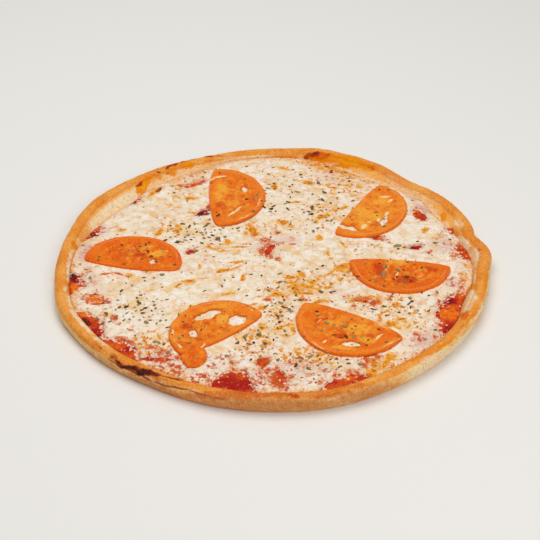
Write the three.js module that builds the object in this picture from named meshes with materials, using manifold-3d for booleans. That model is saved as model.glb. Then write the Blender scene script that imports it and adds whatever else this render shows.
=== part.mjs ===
// A whole round margherita pizza, 30 cm across: a baked crust with a raised rim, tomato sauce,
// melted cheese with dried oregano on it, and six half slices of tomato.
// Millimetres, +Z up. The origin is on the underside, in the middle of the pizza's outline.
import * as THREE from "three";
import { mergeVertices } from "three/addons/utils/BufferGeometryUtils.js";
import Module from "manifold-3d";

const wasm = await Module();
wasm.setup();

const { lerp, smoothstep, degToRad } = THREE.MathUtils;
const TAU = 2 * Math.PI;

// Driving sizes of the whole.
const PIZZA_RADIUS = 149.5;
const RIM_HEIGHT = 11.9;
const RIM_WIDTH = 9.6;
const RIM_SLOPE = 1.2;
const FLOOR_HEIGHT = 5;
const LAYER_GAP = 0.3;
const SAUCE_THICK = 1.3;
const CHEESE_THICK = 1.9;
const TOMATO_THICK = 2.8;

// Heights that follow from them. The tomato lies a little sunk in the cheese.
const SAUCE_LOW = FLOOR_HEIGHT + LAYER_GAP;
const SAUCE_TOP = SAUCE_LOW + SAUCE_THICK;
const CHEESE_LOW = SAUCE_TOP + LAYER_GAP;
const CHEESE_TOP = CHEESE_LOW + CHEESE_THICK;
const TOMATO_SUNK = 0.9;
const TOMATO_LOW = CHEESE_TOP - TOMATO_SUNK;
const TOMATO_TOP = TOMATO_LOW + TOMATO_THICK;
const POCKET_GAP = 0.35;

// Steps round the pizza, finer ones along the cheese's ragged edge, coarser ones in the flat
// middle, and the size of a facet on the cheese.
const STEPS_ROUND = 108;
const EDGE_STEPS = 144;
const MIDDLE_STEPS = 36;
const MIDDLE_SHARE = 0.6;
const CHEESE_FACET = 9;

// The crust's section: how far the flat underside stays inside the outline, the directions of the
// rim's corners, how steep its side stands, how far up it is widest, how high the inner slope
// starts, and the shares of the slope where it bends.
const UNDERSIDE_INSET = 4;
const SIDE_TURNS = [-64, -36, -10, 18, 44, 68, 92, 118, 146];
const SIDE_STEEPNESS = 0.8;
const WIDEST_SHARE = 0.56;
const BROW_SHARE = 0.8;
const SLOPE_SHARES = [0.4, 0.75];

// The sauce's rounded edge, and the rings of its top as shares of its radius.
const SAUCE_EDGE = 0.7;
const SAUCE_DROP = 0.2;
const SAUCE_RINGS = [
  { share: 0.935, steps: STEPS_ROUND },
  { share: 0.8, steps: 54 },
  { share: 0.4, steps: 27 },
];

// The cheese's rounded edge: a lip that hangs out a little over the sauce, then the fall of the
// top over its last millimetres. Facets bend from the bays at the edge to circles of BEND_SHARE.
const CHEESE_LIP = 0.1;
const LIP_HEIGHT = 0.5;
const CHEESE_EDGE = 1.6;
const CHEESE_DROP = 0.6;
const BEND_SHARE = 0.88;

// Unevenness of the tops: swells of "by" millimetres, one every "every" millimetres.
const RIM_SWELLS = [{ by: 0.35, every: 14, salt: 3 }, { by: 0.2, every: 6, salt: 4 }];
const SAUCE_SWELLS = [{ by: 0.2, every: 9, salt: 11 }];
const CHEESE_SWELLS = [{ by: 0.4, every: 24, salt: 5 }, { by: 0.2, every: 11, salt: 7 }];
const CHEESE_SETTLED = 0.1;

// Angles are in degrees from +X, anticlockwise seen from above. Each hump adds "by" millimetres at
// the angle "at" and fades out over "wide" degrees.
const OUTLINE_HUMPS = [
  { at: 2, wide: 5, by: 3 },
  { at: 10.5, wide: 3.5, by: -3 },
  { at: 44, wide: 9, by: -5 },
  { at: 75, wide: 7, by: 2.5 },
  { at: 110, wide: 14, by: -1.5 },
  { at: 150, wide: 12, by: 3 },
  { at: -160, wide: 10, by: 2 },
  { at: -122, wide: 14, by: -2.5 },
  { at: -76, wide: 14, by: 1.8 },
];
// How much wider than RIM_SLOPE the rim's inner slope is.
const SLOPE_HUMPS = [
  { at: 146, wide: 17, by: 12 },
  { at: 120, wide: 12, by: 4 },
  { at: 58, wide: 17, by: 9.5 },
  { at: 24, wide: 10, by: 8.5 },
  { at: 2, wide: 7, by: 4 },
  { at: -20, wide: 10, by: 4 },
  { at: -36, wide: 9, by: -1 },
  { at: -132, wide: 12, by: -1 },
];
const RIM_TOP_HUMPS = [
  { at: 68, wide: 14, by: 1.2 },
  { at: 3, wide: 7, by: 0.9 },
  { at: 145, wide: 22, by: 0.8 },
  { at: -128, wide: 12, by: -0.9 },
  { at: -60, wide: 20, by: 0.4 },
];
// Steep-sided bays in the cheese's edge, where the sauce shows against the rim.
const BAY_STEEPNESS = 4;
const CHEESE_BAYS = [
  { at: -171, wide: 4.5, by: -8 },
  { at: 163, wide: 4, by: -6 },
  { at: 141, wide: 3, by: -3 },
  { at: -151, wide: 6.5, by: -8 },
  { at: -136, wide: 5.5, by: -11 },
  { at: -101, wide: 5.2, by: -20 },
  { at: -71, wide: 6, by: -9 },
  { at: -27, wide: 9, by: -13 },
  { at: 4, wide: 4.5, by: -7.5 },
  { at: 16, wide: 3, by: -3 },
];
// Holes in the cheese that show sauce: the middle, the half sizes and the turn of the long one.
const CHEESE_WINDOWS = [
  { at: [107, 57], half: [8.2, 4.2], turn: 115 },
  { at: [-1.5, 17], half: [8.5, 2.8], turn: 66 },
  { at: [101, 16], half: [5.6, 2.8], turn: 12 },
  { at: [-57, 14.5], half: [3.6, 2.6], turn: 50 },
  { at: [-50, 64.5], half: [7, 3], turn: 45 },
  { at: [-59, 102], half: [9, 2.2], turn: 27 },
  { at: [75, 27], half: [5, 2.2], turn: -12 },
  { at: [-120, -40], half: [8, 3], turn: -12 },
  { at: [-6, -109], half: [6, 3.4], turn: 70 },
  { at: [5, -123], half: [7.5, 2.6], turn: 115 },
  { at: [60, -45], half: [6.5, 2.2], turn: -8 },
  { at: [-74, -104], half: [13, 2.3], turn: -6 },
];
const WINDOW_SIDES = 12;
// Half slices of tomato. "heading" is the direction of the round side, "half" is half the length of
// the cut, "depth" the reach of the round side and "past" how far the flesh swells out beyond the
// straight cut. A small "corner" makes square ends, a large one pointed ends. "wells" are the
// directions of the seed chambers, from the heading.
const SLICES = [
  {
    name: "tomato_left", at: [-96.4, 2.8], heading: 78,
    half: 34.2, depth: 28.3, past: 9.7, corner: 0.43,
    wells: [-50, 5, 48],
    openings: [{ at: [-82.3, 0.6], half: [2.9, 2.7], turn: -20 }],
  },
  {
    name: "tomato_back_left", at: [-39.5, 82.1], heading: 2.5,
    half: 38, depth: 35.3, past: 6, corner: 0.96,
    wells: [-40, 0, 42],
    openings: [{ at: [-19.5, 92.6], half: [2.6, 3.4], turn: 0 }],
  },
  {
    name: "tomato_back_right", at: [66.4, 61.7], heading: -30,
    half: 36.3, depth: 31, past: 6.9, corner: 0.43,
    wells: [-25, 12, 50],
    openings: [
      { at: [56.2, 40.4], half: [7.4, 3], turn: -32 },
      { at: [81.4, 49], half: [6.6, 2], turn: 66 },
    ],
  },
  {
    name: "tomato_right", at: [88.1, -6.6], heading: -98,
    half: 34.4, depth: 33, past: 5, corner: 1.2,
    wells: [-52, 0, 50],
    openings: [],
  },
  {
    name: "tomato_front_left", at: [-34.4, -79], heading: 128,
    half: 33.6, depth: 32.6, past: 7, corner: 0.71,
    wells: [],
    openings: [
      { at: [-43, -61], half: [10.2, 3.6], turn: 32 },
      { at: [-23.5, -67], half: [6.6, 5.6], turn: 35 },
      { at: [-51.9, -80.5], half: [3.4, 4.2], turn: 0 },
    ],
  },
  {
    name: "tomato_front_right", at: [51.8, -68.8], heading: -121.5,
    half: 36.6, depth: 36.9, past: 6.6, corner: 1.2,
    wells: [-48, 52],
    openings: [{ at: [49.3, -93.4], half: [7, 3.2], turn: -4 }],
  },
];
// The torn lump of flesh at the end of the front left slice.
const LUMP = { at: [-50, -104.3], half: [10.5, 8.3], turn: 84 };
const LUMP_THICK = 2.3;
const LUMP_SIDES = 18;

// A slice's section: its foot and its widest ring, then the rings of its top, as shares of the way
// out from the core, which lies CORE_SHARE of the depth in front of the cut. The seed chambers lie
// WELL_OUT of the half length from the middle of the cut.
const SLICE_STEPS = 36;
const SLICE_FOOT = 0.985;
const GIRTH_HEIGHT = 0.55;
const TOP_SHARES = [0.975, 0.8, 0.56, 0.3];
const CORE_SHARE = 0.3;
const WELL_OUT = 0.56;
const WELL_HALF = [0.2, 0.15];
const WELL_DEEP = 1.3;
const CURL = 0.7;
const CUT_MARGIN = 1;

// Oregano: small dry leaf flakes, sown thickly in these drifts and thinly elsewhere.
const FLAKES = 104;
const FLAKE_LONG = [3, 4.6];
const FLAKE_SLIM = 0.38;
const FLAKE_PROUD = 0.6;
const FLAKE_SUNK = 0.15;
const FLAKE_ROOT = 1;
const FLAKE_SIDES = 6;
const FLAKE_CLEARANCE = 2.7;
const THIN_SOWING = 0.15;
const DRIFTS = [
  { at: [-92, -54], half: [20, 15], share: 1 },
  { at: [-50, 38], half: [22, 12], share: 1 },
  { at: [5, -48], half: [14, 16], share: 1 },
  { at: [28, -110], half: [20, 9], share: 0.8 },
  { at: [8, 88], half: [22, 26], share: 0.6 },
  { at: [-12, -86], half: [16, 14], share: 0.8 },
  { at: [86, -50], half: [26, 12], share: 0.6 },
  { at: [34, 66], half: [14, 20], share: 0.5 },
  { at: [-88, 12], half: [16, 12], share: 0.8 },
  { at: [82, -20], half: [18, 14], share: 0.8 },
  { at: [48, -82], half: [14, 12], share: 0.8 },
  { at: [-56, -82], half: [10, 16], share: 0.7 },
];

// Values from 0 to 1 that look random and are the same at every run.
function scatter(...keys) {
  const mixed = keys.reduce((sum, key, i) => sum + key * (12.9898 + 65.2347 * i), 4.1414);
  const wave = Math.sin(mixed) * 43758.5453;
  return wave - Math.floor(wave);
}

// Smooth uneven heights from -1 to 1, one swell every "scale" millimetres.
function swell(x, y, scale, salt) {
  const column = Math.floor(x / scale);
  const row = Math.floor(y / scale);
  const across = smoothstep(x / scale - column, 0, 1);
  const along = smoothstep(y / scale - row, 0, 1);
  const corner = (i, j) => scatter(column + i, row + j, salt) * 2 - 1;
  const near = lerp(corner(0, 0), corner(1, 0), across);
  const far = lerp(corner(0, 1), corner(1, 1), across);
  return lerp(near, far, along);
}

const unevenness = (swells, x, y) =>
  swells.reduce((sum, { by, every, salt }) => sum + by * swell(x, y, every, salt), 0);

function humpSum(humps, angle, steepness = 2) {
  return humps.reduce((sum, hump) => {
    const apart = angle - degToRad(hump.at);
    const off = Math.abs(Math.atan2(Math.sin(apart), Math.cos(apart))) / degToRad(hump.wide);
    return sum + hump.by * Math.exp(-(off ** steepness));
  }, 0);
}

const outlineRadius = (angle) => PIZZA_RADIUS + humpSum(OUTLINE_HUMPS, angle);
const browRadius = (angle) => outlineRadius(angle) - RIM_WIDTH;
const footRadius = (angle) => browRadius(angle) - RIM_SLOPE - humpSum(SLOPE_HUMPS, angle);
const rimHeight = (angle) => RIM_HEIGHT + humpSum(RIM_TOP_HUMPS, angle);
const sauceRadius = (angle) => footRadius(angle) - 2 * LAYER_GAP;
const cheeseRadius = (angle) => sauceRadius(angle) + humpSum(CHEESE_BAYS, angle, BAY_STEEPNESS);

// Closed skins are made of rings of points, each anticlockwise seen from above. They run from the
// middle of the underside, out, up and over to the middle of the top, so that faces point outwards.
function skinOf(lowest, rings, highest) {
  const points = [];
  const faces = [];
  const add = (point) => points.push(point) - 1;
  const loops = rings.map((ring) => ring.map(add));
  const fan = (loop, tip, up) => {
    loop.forEach((corner, i) => {
      const next = loop[(i + 1) % loop.length];
      faces.push(up ? [corner, next, tip] : [next, corner, tip]);
    });
  };
  fan(loops[0], add(lowest), false);
  for (let k = 1; k < loops.length; k++) stitch(faces, loops[k - 1], loops[k]);
  fan(loops.at(-1), add(highest), true);
  return solidOf(points, faces);
}

// Fills the band between two rings, which may have different numbers of points.
function stitch(faces, before, after) {
  let i = 0;
  let j = 0;
  while (i < before.length || j < after.length) {
    const a = before[i % before.length];
    const b = after[j % after.length];
    const stepBefore = (i + 1) / before.length <= (j + 1) / after.length;
    if (stepBefore) {
      i++;
      faces.push([a, before[i % before.length], b]);
    } else {
      j++;
      faces.push([a, after[j % after.length], b]);
    }
  }
}

function solidOf(points, faces) {
  const geometry = new THREE.BufferGeometry();
  geometry.setAttribute("position", new THREE.Float32BufferAttribute(points.flat(), 3));
  geometry.setIndex(faces.flat());
  return manifoldOf(geometry);
}

function manifoldOf(geometry) {
  const bare = geometry.clone();
  bare.deleteAttribute("normal");
  bare.deleteAttribute("uv");
  const merged = mergeVertices(bare, 1e-4);
  const vertProperties = new Float32Array(merged.getAttribute("position").array);
  const triVerts = new Uint32Array(merged.index.array);
  return new wasm.Manifold(new wasm.Mesh({ numProp: 3, vertProperties, triVerts }));
}

function geometryOf(solid) {
  const { vertProperties, triVerts } = solid.getMesh();
  const geometry = new THREE.BufferGeometry();
  geometry.setAttribute("position", new THREE.BufferAttribute(vertProperties, 3));
  geometry.setIndex(new THREE.BufferAttribute(triVerts, 1));
  geometry.computeVertexNormals();
  return geometry;
}

// A ring of points round the pizza's middle, from a radius and a height that depend on the angle.
function ringAt(count, radius, height) {
  return Array.from({ length: count }, (_, i) => {
    const angle = (i * TAU) / count;
    const r = radius(angle);
    const x = r * Math.cos(angle);
    const y = r * Math.sin(angle);
    return [x, y, height(x, y, angle)];
  });
}

// The crust's section at an angle: out along the underside, up the bulging side, over the rim and
// down the inner slope to the floor. The side stands steeper than an ellipse would.
function crustRings() {
  const halfWidth = RIM_WIDTH / 2;
  const section = [[(angle) => outlineRadius(angle) - UNDERSIDE_INSET, () => 0]];
  for (const turn of SIDE_TURNS) {
    const across = Math.cos(degToRad(turn));
    const up = Math.sin(degToRad(turn));
    const out = Math.sign(across) * Math.abs(across) ** SIDE_STEEPNESS;
    section.push([
      (angle) => outlineRadius(angle) - halfWidth + halfWidth * out,
      (x, y, angle) => {
        const widest = rimHeight(angle) * WIDEST_SHARE;
        const reach = up < 0 ? widest : rimHeight(angle) - widest;
        return widest + reach * up + Math.max(0, up) * unevenness(RIM_SWELLS, x, y);
      },
    ]);
  }
  for (const share of SLOPE_SHARES) {
    section.push([
      (angle) => lerp(browRadius(angle), footRadius(angle), share),
      (x, y, angle) => lerp(rimHeight(angle) * BROW_SHARE, FLOOR_HEIGHT, smoothstep(share, 0, 1)),
    ]);
  }
  section.push([footRadius, () => FLOOR_HEIGHT]);
  return section.map(([radius, height]) => ringAt(STEPS_ROUND, radius, height));
}

function crust() {
  const halfway = () => PIZZA_RADIUS * MIDDLE_SHARE;
  const under = ringAt(MIDDLE_STEPS, halfway, () => 0);
  const floor = ringAt(MIDDLE_STEPS, halfway, () => FLOOR_HEIGHT);
  return skinOf([0, 0, 0], [under, ...crustRings(), floor], [0, 0, FLOOR_HEIGHT]);
}

// The sauce is a thin bed over the crust's floor, lumpy with pulp.
function sauce() {
  const lumpy = (x, y) => SAUCE_TOP - SAUCE_DROP + unevenness(SAUCE_SWELLS, x, y);
  const within = (share) => (angle) => sauceRadius(angle) * share;
  const rings = [
    ringAt(MIDDLE_STEPS, within(MIDDLE_SHARE), () => SAUCE_LOW),
    ringAt(STEPS_ROUND, sauceRadius, () => SAUCE_LOW),
    ringAt(STEPS_ROUND, (angle) => sauceRadius(angle) - SAUCE_EDGE, (x, y) => lumpy(x, y) - SAUCE_DROP),
    ...SAUCE_RINGS.map(({ share, steps }) => ringAt(steps, within(share), lumpy)),
  ];
  return skinOf([0, 0, SAUCE_LOW], rings, [0, 0, SAUCE_TOP]);
}

const cheeseHeight = (x, y) => CHEESE_TOP - CHEESE_SETTLED + unevenness(CHEESE_SWELLS, x, y);

// The cheese before anything is cut out of it or sown on it: rings of even facets, which follow
// the bays near the edge and turn round towards the middle.
function cheeseSheet() {
  const bands = Math.round(PIZZA_RADIUS / CHEESE_FACET);
  const edge = (angle) => cheeseRadius(angle) - CHEESE_EDGE;
  const rings = [
    ringAt(MIDDLE_STEPS, () => PIZZA_RADIUS * MIDDLE_SHARE, () => CHEESE_LOW),
    ringAt(EDGE_STEPS, cheeseRadius, () => CHEESE_LOW),
    ringAt(EDGE_STEPS, (angle) => cheeseRadius(angle) + CHEESE_LIP, () => CHEESE_LOW + LIP_HEIGHT),
    ringAt(EDGE_STEPS, edge, (x, y) => cheeseHeight(x, y) - CHEESE_DROP),
  ];
  for (let band = bands - 1; band > 0; band--) {
    const share = band / bands;
    const reach = share * share;
    const count = Math.round((TAU * share * PIZZA_RADIUS) / CHEESE_FACET);
    const radius = (angle) => share * lerp(PIZZA_RADIUS * BEND_SHARE, edge(angle), reach);
    rings.push(ringAt(Math.min(STEPS_ROUND, count), radius, cheeseHeight));
  }
  return skinOf([0, 0, CHEESE_LOW], rings, [0, 0, cheeseHeight(0, 0)]);
}

// An upright prism over an ellipse, for openings and the lump.
function ellipsePrism({ at, half, turn }, low, high, sides, grown = 0) {
  const outline = new THREE.Shape(
    new THREE.EllipseCurve(0, 0, half[0] + grown, half[1] + grown, 0, TAU).getPoints(sides).slice(0, -1),
  );
  const prism = new THREE.ExtrudeGeometry(outline, { depth: high - low, bevelEnabled: false });
  prism.rotateZ(degToRad(turn));
  prism.translate(at[0], at[1], low);
  return manifoldOf(prism);
}

// A half slice's outline, in its own frame with the core at the origin and the round side along
// +out: half an ellipse in front of the cut, and a flatter swell behind it.
function slicePoint(slice, turn, grown = 0) {
  const across = (slice.half + grown) * Math.sin(turn);
  const toFront = Math.cos(turn);
  const out =
    toFront >= 0
      ? (slice.depth + grown) * toFront
      : -(slice.past + grown) * Math.abs(toFront) ** slice.corner;
  return [out, across];
}

function toPlan(slice, [out, across]) {
  const c = Math.cos(degToRad(slice.heading));
  const s = Math.sin(degToRad(slice.heading));
  return [slice.at[0] + out * c - across * s, slice.at[1] + out * s + across * c];
}

function fromPlan(slice, [x, y]) {
  const c = Math.cos(degToRad(slice.heading));
  const s = Math.sin(degToRad(slice.heading));
  const dx = x - slice.at[0];
  const dy = y - slice.at[1];
  return [dx * c + dy * s, -dx * s + dy * c];
}

// Height of a slice's top: thick flesh with a sunken seed chamber in each of its wells, curling up
// a little towards the skin.
function sliceHeight(slice, out, across) {
  const reach = Math.hypot(out / slice.depth, across / slice.half);
  let height = TOMATO_TOP - CURL + CURL * reach * reach;
  for (const round of slice.wells) {
    const [along, side] = aroundWell(slice, round, out, across);
    height -= WELL_DEEP * Math.exp(-(along * along) - side * side);
  }
  return height;
}

// A place measured from the middle of a seed chamber, in the chamber's own half sizes.
function aroundWell(slice, round, out, across) {
  const c = Math.cos(degToRad(round));
  const s = Math.sin(degToRad(round));
  const along = out * c + across * s - WELL_OUT * slice.half;
  const side = -out * s + across * c;
  return [along / (WELL_HALF[0] * slice.half), side / (WELL_HALF[1] * slice.half)];
}

function sliceRing(slice, share, height, grown = 0) {
  const core = CORE_SHARE * slice.depth;
  return Array.from({ length: SLICE_STEPS }, (_, i) => {
    const [out, across] = slicePoint(slice, (i * TAU) / SLICE_STEPS, grown);
    const place = [core + (out - core) * share, across * share];
    return [...toPlan(slice, place), height(...place)];
  });
}

function sliceBody(slice) {
  const top = (out, across) => sliceHeight(slice, out, across);
  const core = [CORE_SHARE * slice.depth, 0];
  const rings = [
    sliceRing(slice, SLICE_FOOT, () => TOMATO_LOW),
    sliceRing(slice, 1, () => TOMATO_LOW + GIRTH_HEIGHT * TOMATO_THICK),
    ...TOP_SHARES.map((share) => sliceRing(slice, share, top)),
  ];
  return skinOf([...toPlan(slice, core), TOMATO_LOW], rings, [...toPlan(slice, core), top(...core)]);
}

// The room that a slice takes in the cheese, from "low" upwards.
function slicePocket(slice, low) {
  const high = TOMATO_TOP + CUT_MARGIN;
  const rings = [low, high].map((height) => sliceRing(slice, 1, () => height, POCKET_GAP));
  const core = toPlan(slice, [CORE_SHARE * slice.depth, 0]);
  return skinOf([...core, low], rings, [...core, high]);
}

// A dry leaf flake: a low six-sided cone, longer than wide, whose foot is sunk in what it lies on
// at "height".
function flake([x, y], height, long, turn) {
  const c = Math.cos(turn);
  const s = Math.sin(turn);
  const ring = Array.from({ length: FLAKE_SIDES }, (_, i) => {
    const round = (i * TAU) / FLAKE_SIDES;
    const along = (long / 2) * Math.cos(round);
    const side = (long / 2) * FLAKE_SLIM * Math.sin(round);
    return [x + along * c - side * s, y + along * s + side * c, height - FLAKE_SUNK];
  });
  return skinOf([x, y, height - FLAKE_ROOT], [ring], [x, y, height + FLAKE_PROUD]);
}

// Below 1 inside an ellipse grown by "margin", above 1 outside it.
function ellipseReach([x, y], { at, half, turn = 0 }, margin = 0) {
  const c = Math.cos(degToRad(turn));
  const s = Math.sin(degToRad(turn));
  const dx = x - at[0];
  const dy = y - at[1];
  return Math.hypot((dx * c + dy * s) / (half[0] + margin), (dy * c - dx * s) / (half[1] + margin));
}

function isOnSlice(slice, place, margin) {
  const [out, across] = fromPlan(slice, place);
  const wide = Math.abs(across) / (slice.half + margin);
  if (wide >= 1) return false;
  const bow = Math.sqrt(1 - wide * wide);
  return out < (slice.depth + margin) * bow && out > -(slice.past + margin) * bow ** slice.corner;
}

// What a flake at a place lies on, or nothing when an edge or a hole is too near.
function bedAt(place) {
  const angle = Math.atan2(place[1], place[0]);
  if (Math.hypot(...place) > cheeseRadius(angle) - 2 * FLAKE_CLEARANCE) return undefined;
  const holes = [LUMP, ...CHEESE_WINDOWS, ...SLICES.flatMap((slice) => slice.openings)];
  if (holes.some((hole) => ellipseReach(place, hole, FLAKE_CLEARANCE) < 1)) return undefined;
  const over = SLICES.find((slice) => isOnSlice(slice, place, -FLAKE_CLEARANCE));
  if (over) return over.name;
  return SLICES.some((slice) => isOnSlice(slice, place, FLAKE_CLEARANCE)) ? undefined : "cheese";
}

function sowing(place) {
  const drifts = DRIFTS.map((drift) => drift.share * Math.exp(-(ellipseReach(place, drift) ** 2)));
  return THIN_SOWING + Math.max(...drifts);
}

// The flakes' places. The candidates step evenly over the whole pizza, and each is kept with the
// chance that the sowing gives its place.
function sownFlakes() {
  const kept = [];
  for (let k = 1; kept.length < FLAKES; k++) {
    const place = [0.7548776662 * k, 0.5698402910 * k].map((v) => (2 * (v % 1) - 1) * PIZZA_RADIUS);
    const bed = scatter(k, 17) < sowing(place) ? bedAt(place) : undefined;
    if (!bed) continue;
    kept.push({ place, bed, long: lerp(...FLAKE_LONG, scatter(k, 23)), turn: TAU * scatter(k, 29) });
  }
  return kept;
}

function withFlakes(body, flakes, heightAt) {
  return flakes.reduce(
    (whole, { place, long, turn }) => whole.add(flake(place, heightAt(...place), long, turn)),
    body,
  );
}

function cheese(flakes) {
  const pocketLow = TOMATO_LOW - LAYER_GAP;
  const cuts = [
    ...CHEESE_WINDOWS.map((window) => ellipsePrism(window, SAUCE_LOW, TOMATO_TOP, WINDOW_SIDES)),
    ...SLICES.map((slice) => slicePocket(slice, pocketLow)),
    ellipsePrism(LUMP, pocketLow, TOMATO_TOP, LUMP_SIDES, POCKET_GAP),
  ];
  const sheet = cuts.reduce((rest, cut) => rest.subtract(cut), cheeseSheet());
  return withFlakes(sheet, flakes, cheeseHeight);
}

function tomato(slice, flakes) {
  let body = sliceBody(slice);
  if (slice.name === "tomato_front_left") {
    body = body.add(ellipsePrism(LUMP, TOMATO_LOW, TOMATO_LOW + LUMP_THICK, LUMP_SIDES));
  }
  for (const opening of slice.openings) {
    const prism = ellipsePrism(opening, TOMATO_LOW - CUT_MARGIN, TOMATO_TOP + CUT_MARGIN, WINDOW_SIDES);
    body = body.subtract(prism);
  }
  return withFlakes(body, flakes, (x, y) => sliceHeight(slice, ...fromPlan(slice, [x, y])));
}

const CRUST_FINISH = new THREE.MeshStandardMaterial({ color: 0xe2b06a, roughness: 0.75, metalness: 0 });
const SAUCE_FINISH = new THREE.MeshStandardMaterial({ color: 0xb53414, roughness: 0.35, metalness: 0 });
const CHEESE_FINISH = new THREE.MeshStandardMaterial({ color: 0xf1e6cf, roughness: 0.45, metalness: 0 });
const TOMATO_FINISH = new THREE.MeshStandardMaterial({ color: 0xee7a22, roughness: 0.35, metalness: 0 });

function meshOf(name, solid, finish) {
  const mesh = new THREE.Mesh(geometryOf(solid), finish);
  mesh.name = name;
  return mesh;
}

const flakes = sownFlakes();
const flakesOn = (bed) => flakes.filter((each) => each.bed === bed);

const crustMesh = meshOf("crust", crust(), CRUST_FINISH);
const pizza = new THREE.Group();
pizza.add(
  crustMesh,
  meshOf("sauce", sauce(), SAUCE_FINISH),
  meshOf("cheese", cheese(flakesOn("cheese")), CHEESE_FINISH),
  ...SLICES.map((slice) => meshOf(slice.name, tomato(slice, flakesOn(slice.name)), TOMATO_FINISH)),
);

// The outline is uneven, so the whole is moved to put the middle of its box over the origin.
const middle = new THREE.Box3().setFromObject(crustMesh).getCenter(new THREE.Vector3());
pizza.position.set(-middle.x, -middle.y, 0);

export default pizza;
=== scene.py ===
"""A baked margherita pizza on a plain floor: every visible layer of the CAD model, remade finely."""

import math

import bpy
import numpy as np
from mathutils import Matrix


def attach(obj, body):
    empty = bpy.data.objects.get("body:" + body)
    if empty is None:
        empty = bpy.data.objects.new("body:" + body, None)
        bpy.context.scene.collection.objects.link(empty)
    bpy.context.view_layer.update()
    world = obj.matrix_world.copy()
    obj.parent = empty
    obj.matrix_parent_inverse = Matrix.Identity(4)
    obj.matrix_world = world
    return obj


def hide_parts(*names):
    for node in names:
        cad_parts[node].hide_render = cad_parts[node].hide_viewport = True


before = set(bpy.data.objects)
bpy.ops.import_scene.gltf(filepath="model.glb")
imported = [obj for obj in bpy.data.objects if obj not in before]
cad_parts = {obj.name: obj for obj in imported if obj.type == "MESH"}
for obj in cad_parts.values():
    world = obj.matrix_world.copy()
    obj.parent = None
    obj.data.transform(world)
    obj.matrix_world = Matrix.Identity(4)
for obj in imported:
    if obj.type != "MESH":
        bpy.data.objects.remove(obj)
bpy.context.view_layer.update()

# A millimetre in metres, and a metre in millimetres.
MM = 0.001
METRE = 1000

# Sizes in millimetres, as in the CAD model. Angles are in degrees from +X, anticlockwise.
TAU = 2 * math.pi
PIZZA_RADIUS = 149.5
RIM_HEIGHT = 11.9
RIM_WIDTH = 9.6
RIM_SLOPE = 1.2
FLOOR_HEIGHT = 5
SAUCE_LOW = 5.3
SAUCE_TOP = 6.6
CHEESE_LOW = 6.9
CHEESE_TOP = 8.8
TOMATO_LOW = 7.9
TOMATO_TOP = 10.7
LAYER_GAP = 0.3

# Humps round the rim: the angle, how many degrees it takes to fade, and the millimetres added.
OUTLINE_HUMPS = [
    (2, 5, 3), (10.5, 3.5, -3), (44, 9, -5), (75, 7, 2.5), (110, 14, -1.5),
    (150, 12, 3), (-160, 10, 2), (-122, 14, -2.5), (-76, 14, 1.8),
]
SLOPE_HUMPS = [
    (146, 17, 12), (120, 12, 4), (58, 17, 9.5), (24, 10, 8.5), (2, 7, 4),
    (-20, 10, 4), (-36, 9, -1), (-132, 12, -1),
]
RIM_TOP_HUMPS = [(68, 14, 1.2), (3, 7, 0.9), (145, 22, 0.8), (-128, 12, -0.9), (-60, 20, 0.4)]
CHEESE_BAYS = [
    (-171, 4.5, -8), (163, 4, -6), (141, 3, -3), (-151, 6.5, -8), (-136, 5.5, -11),
    (-101, 5.2, -20), (-71, 6, -9), (-27, 9, -13), (4, 4.5, -7.5), (16, 3, -3),
]
BAY_STEEPNESS = 4

# How far back a place seems to lie for each millimetre it stands above the cheese, seen from the
# camera's height. The colour patches below are placed as they are seen.
LEAN = 1.39

# Holes in the cheese where sauce shows: x, y, half length, half width, turn.
CHEESE_WINDOWS = [
    (107, 57, 8.2, 4.2, 115), (-1.5, 17, 8.5, 2.8, 66), (101, 16, 5.6, 2.8, 12),
    (-57, 14.5, 3.6, 2.6, 50), (-50, 64.5, 7, 3, 45), (-59, 102, 9, 2.2, 27),
    (75, 27, 5, 2.2, -12), (-120, -40, 8, 3, -12), (-6, -109, 6, 3.4, 70),
    (5, -123, 7.5, 2.6, 115), (60, -45, 6.5, 2.2, -8), (-74, -104, 13, 2.3, -6),
]
# Half slices of tomato: the middle of the cut, the direction of the round side, half the cut, the
# reach of the round side, the swell behind the cut, how square its ends are, the directions of
# the seed chambers, and openings through which cheese shows.
SLICES = {
    "tomato_left": dict(
        at=(-96.4, 2.8), heading=78, half=34.2, depth=28.3, past=9.7, corner=0.43,
        wells=(-50, 5, 48), openings=[(-82.3, 0.6, 2.9, 2.7, -20)],
    ),
    "tomato_back_left": dict(
        at=(-39.5, 82.1), heading=2.5, half=38, depth=35.3, past=6, corner=0.96,
        wells=(-40, 0, 42), openings=[(-19.5, 92.6, 2.6, 3.4, 0)],
    ),
    "tomato_back_right": dict(
        at=(66.4, 61.7), heading=-30, half=36.3, depth=31, past=6.9, corner=0.43,
        wells=(-25, 12, 50), openings=[(55, 39, 8.2, 2.8, -26), (81.4, 49, 6.6, 2, 66)],
    ),
    "tomato_right": dict(
        at=(88.1, -6.6), heading=-98, half=34.4, depth=33, past=5, corner=1.2,
        wells=(-52, 0, 50), openings=[],
    ),
    "tomato_front_left": dict(
        at=(-34.4, -79), heading=128, half=33.6, depth=32.6, past=7, corner=0.71,
        wells=(),
        openings=[(-43, -61, 10.2, 3.6, 32), (-23.5, -67, 6.6, 5.6, 35), (-51.9, -80.5, 3.4, 4.2, 0)],
    ),
    "tomato_front_right": dict(
        at=(51.8, -68.8), heading=-121.5, half=36.6, depth=36.9, past=6.6, corner=1.2,
        wells=(-48, 52), openings=[(49.3, -93.4, 7, 3.2, -4)],
    ),
}
# The torn lump of flesh on the front left slice: x, y, half length, half width, turn; its height.
LUMP = (-50, -104.3, 10.5, 8.3, 84)
LUMP_THICK = 2.3
# How far out the rings of a slice gather, as a share of the reach of its round side.
CORE_SHARE = 0.3
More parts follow.
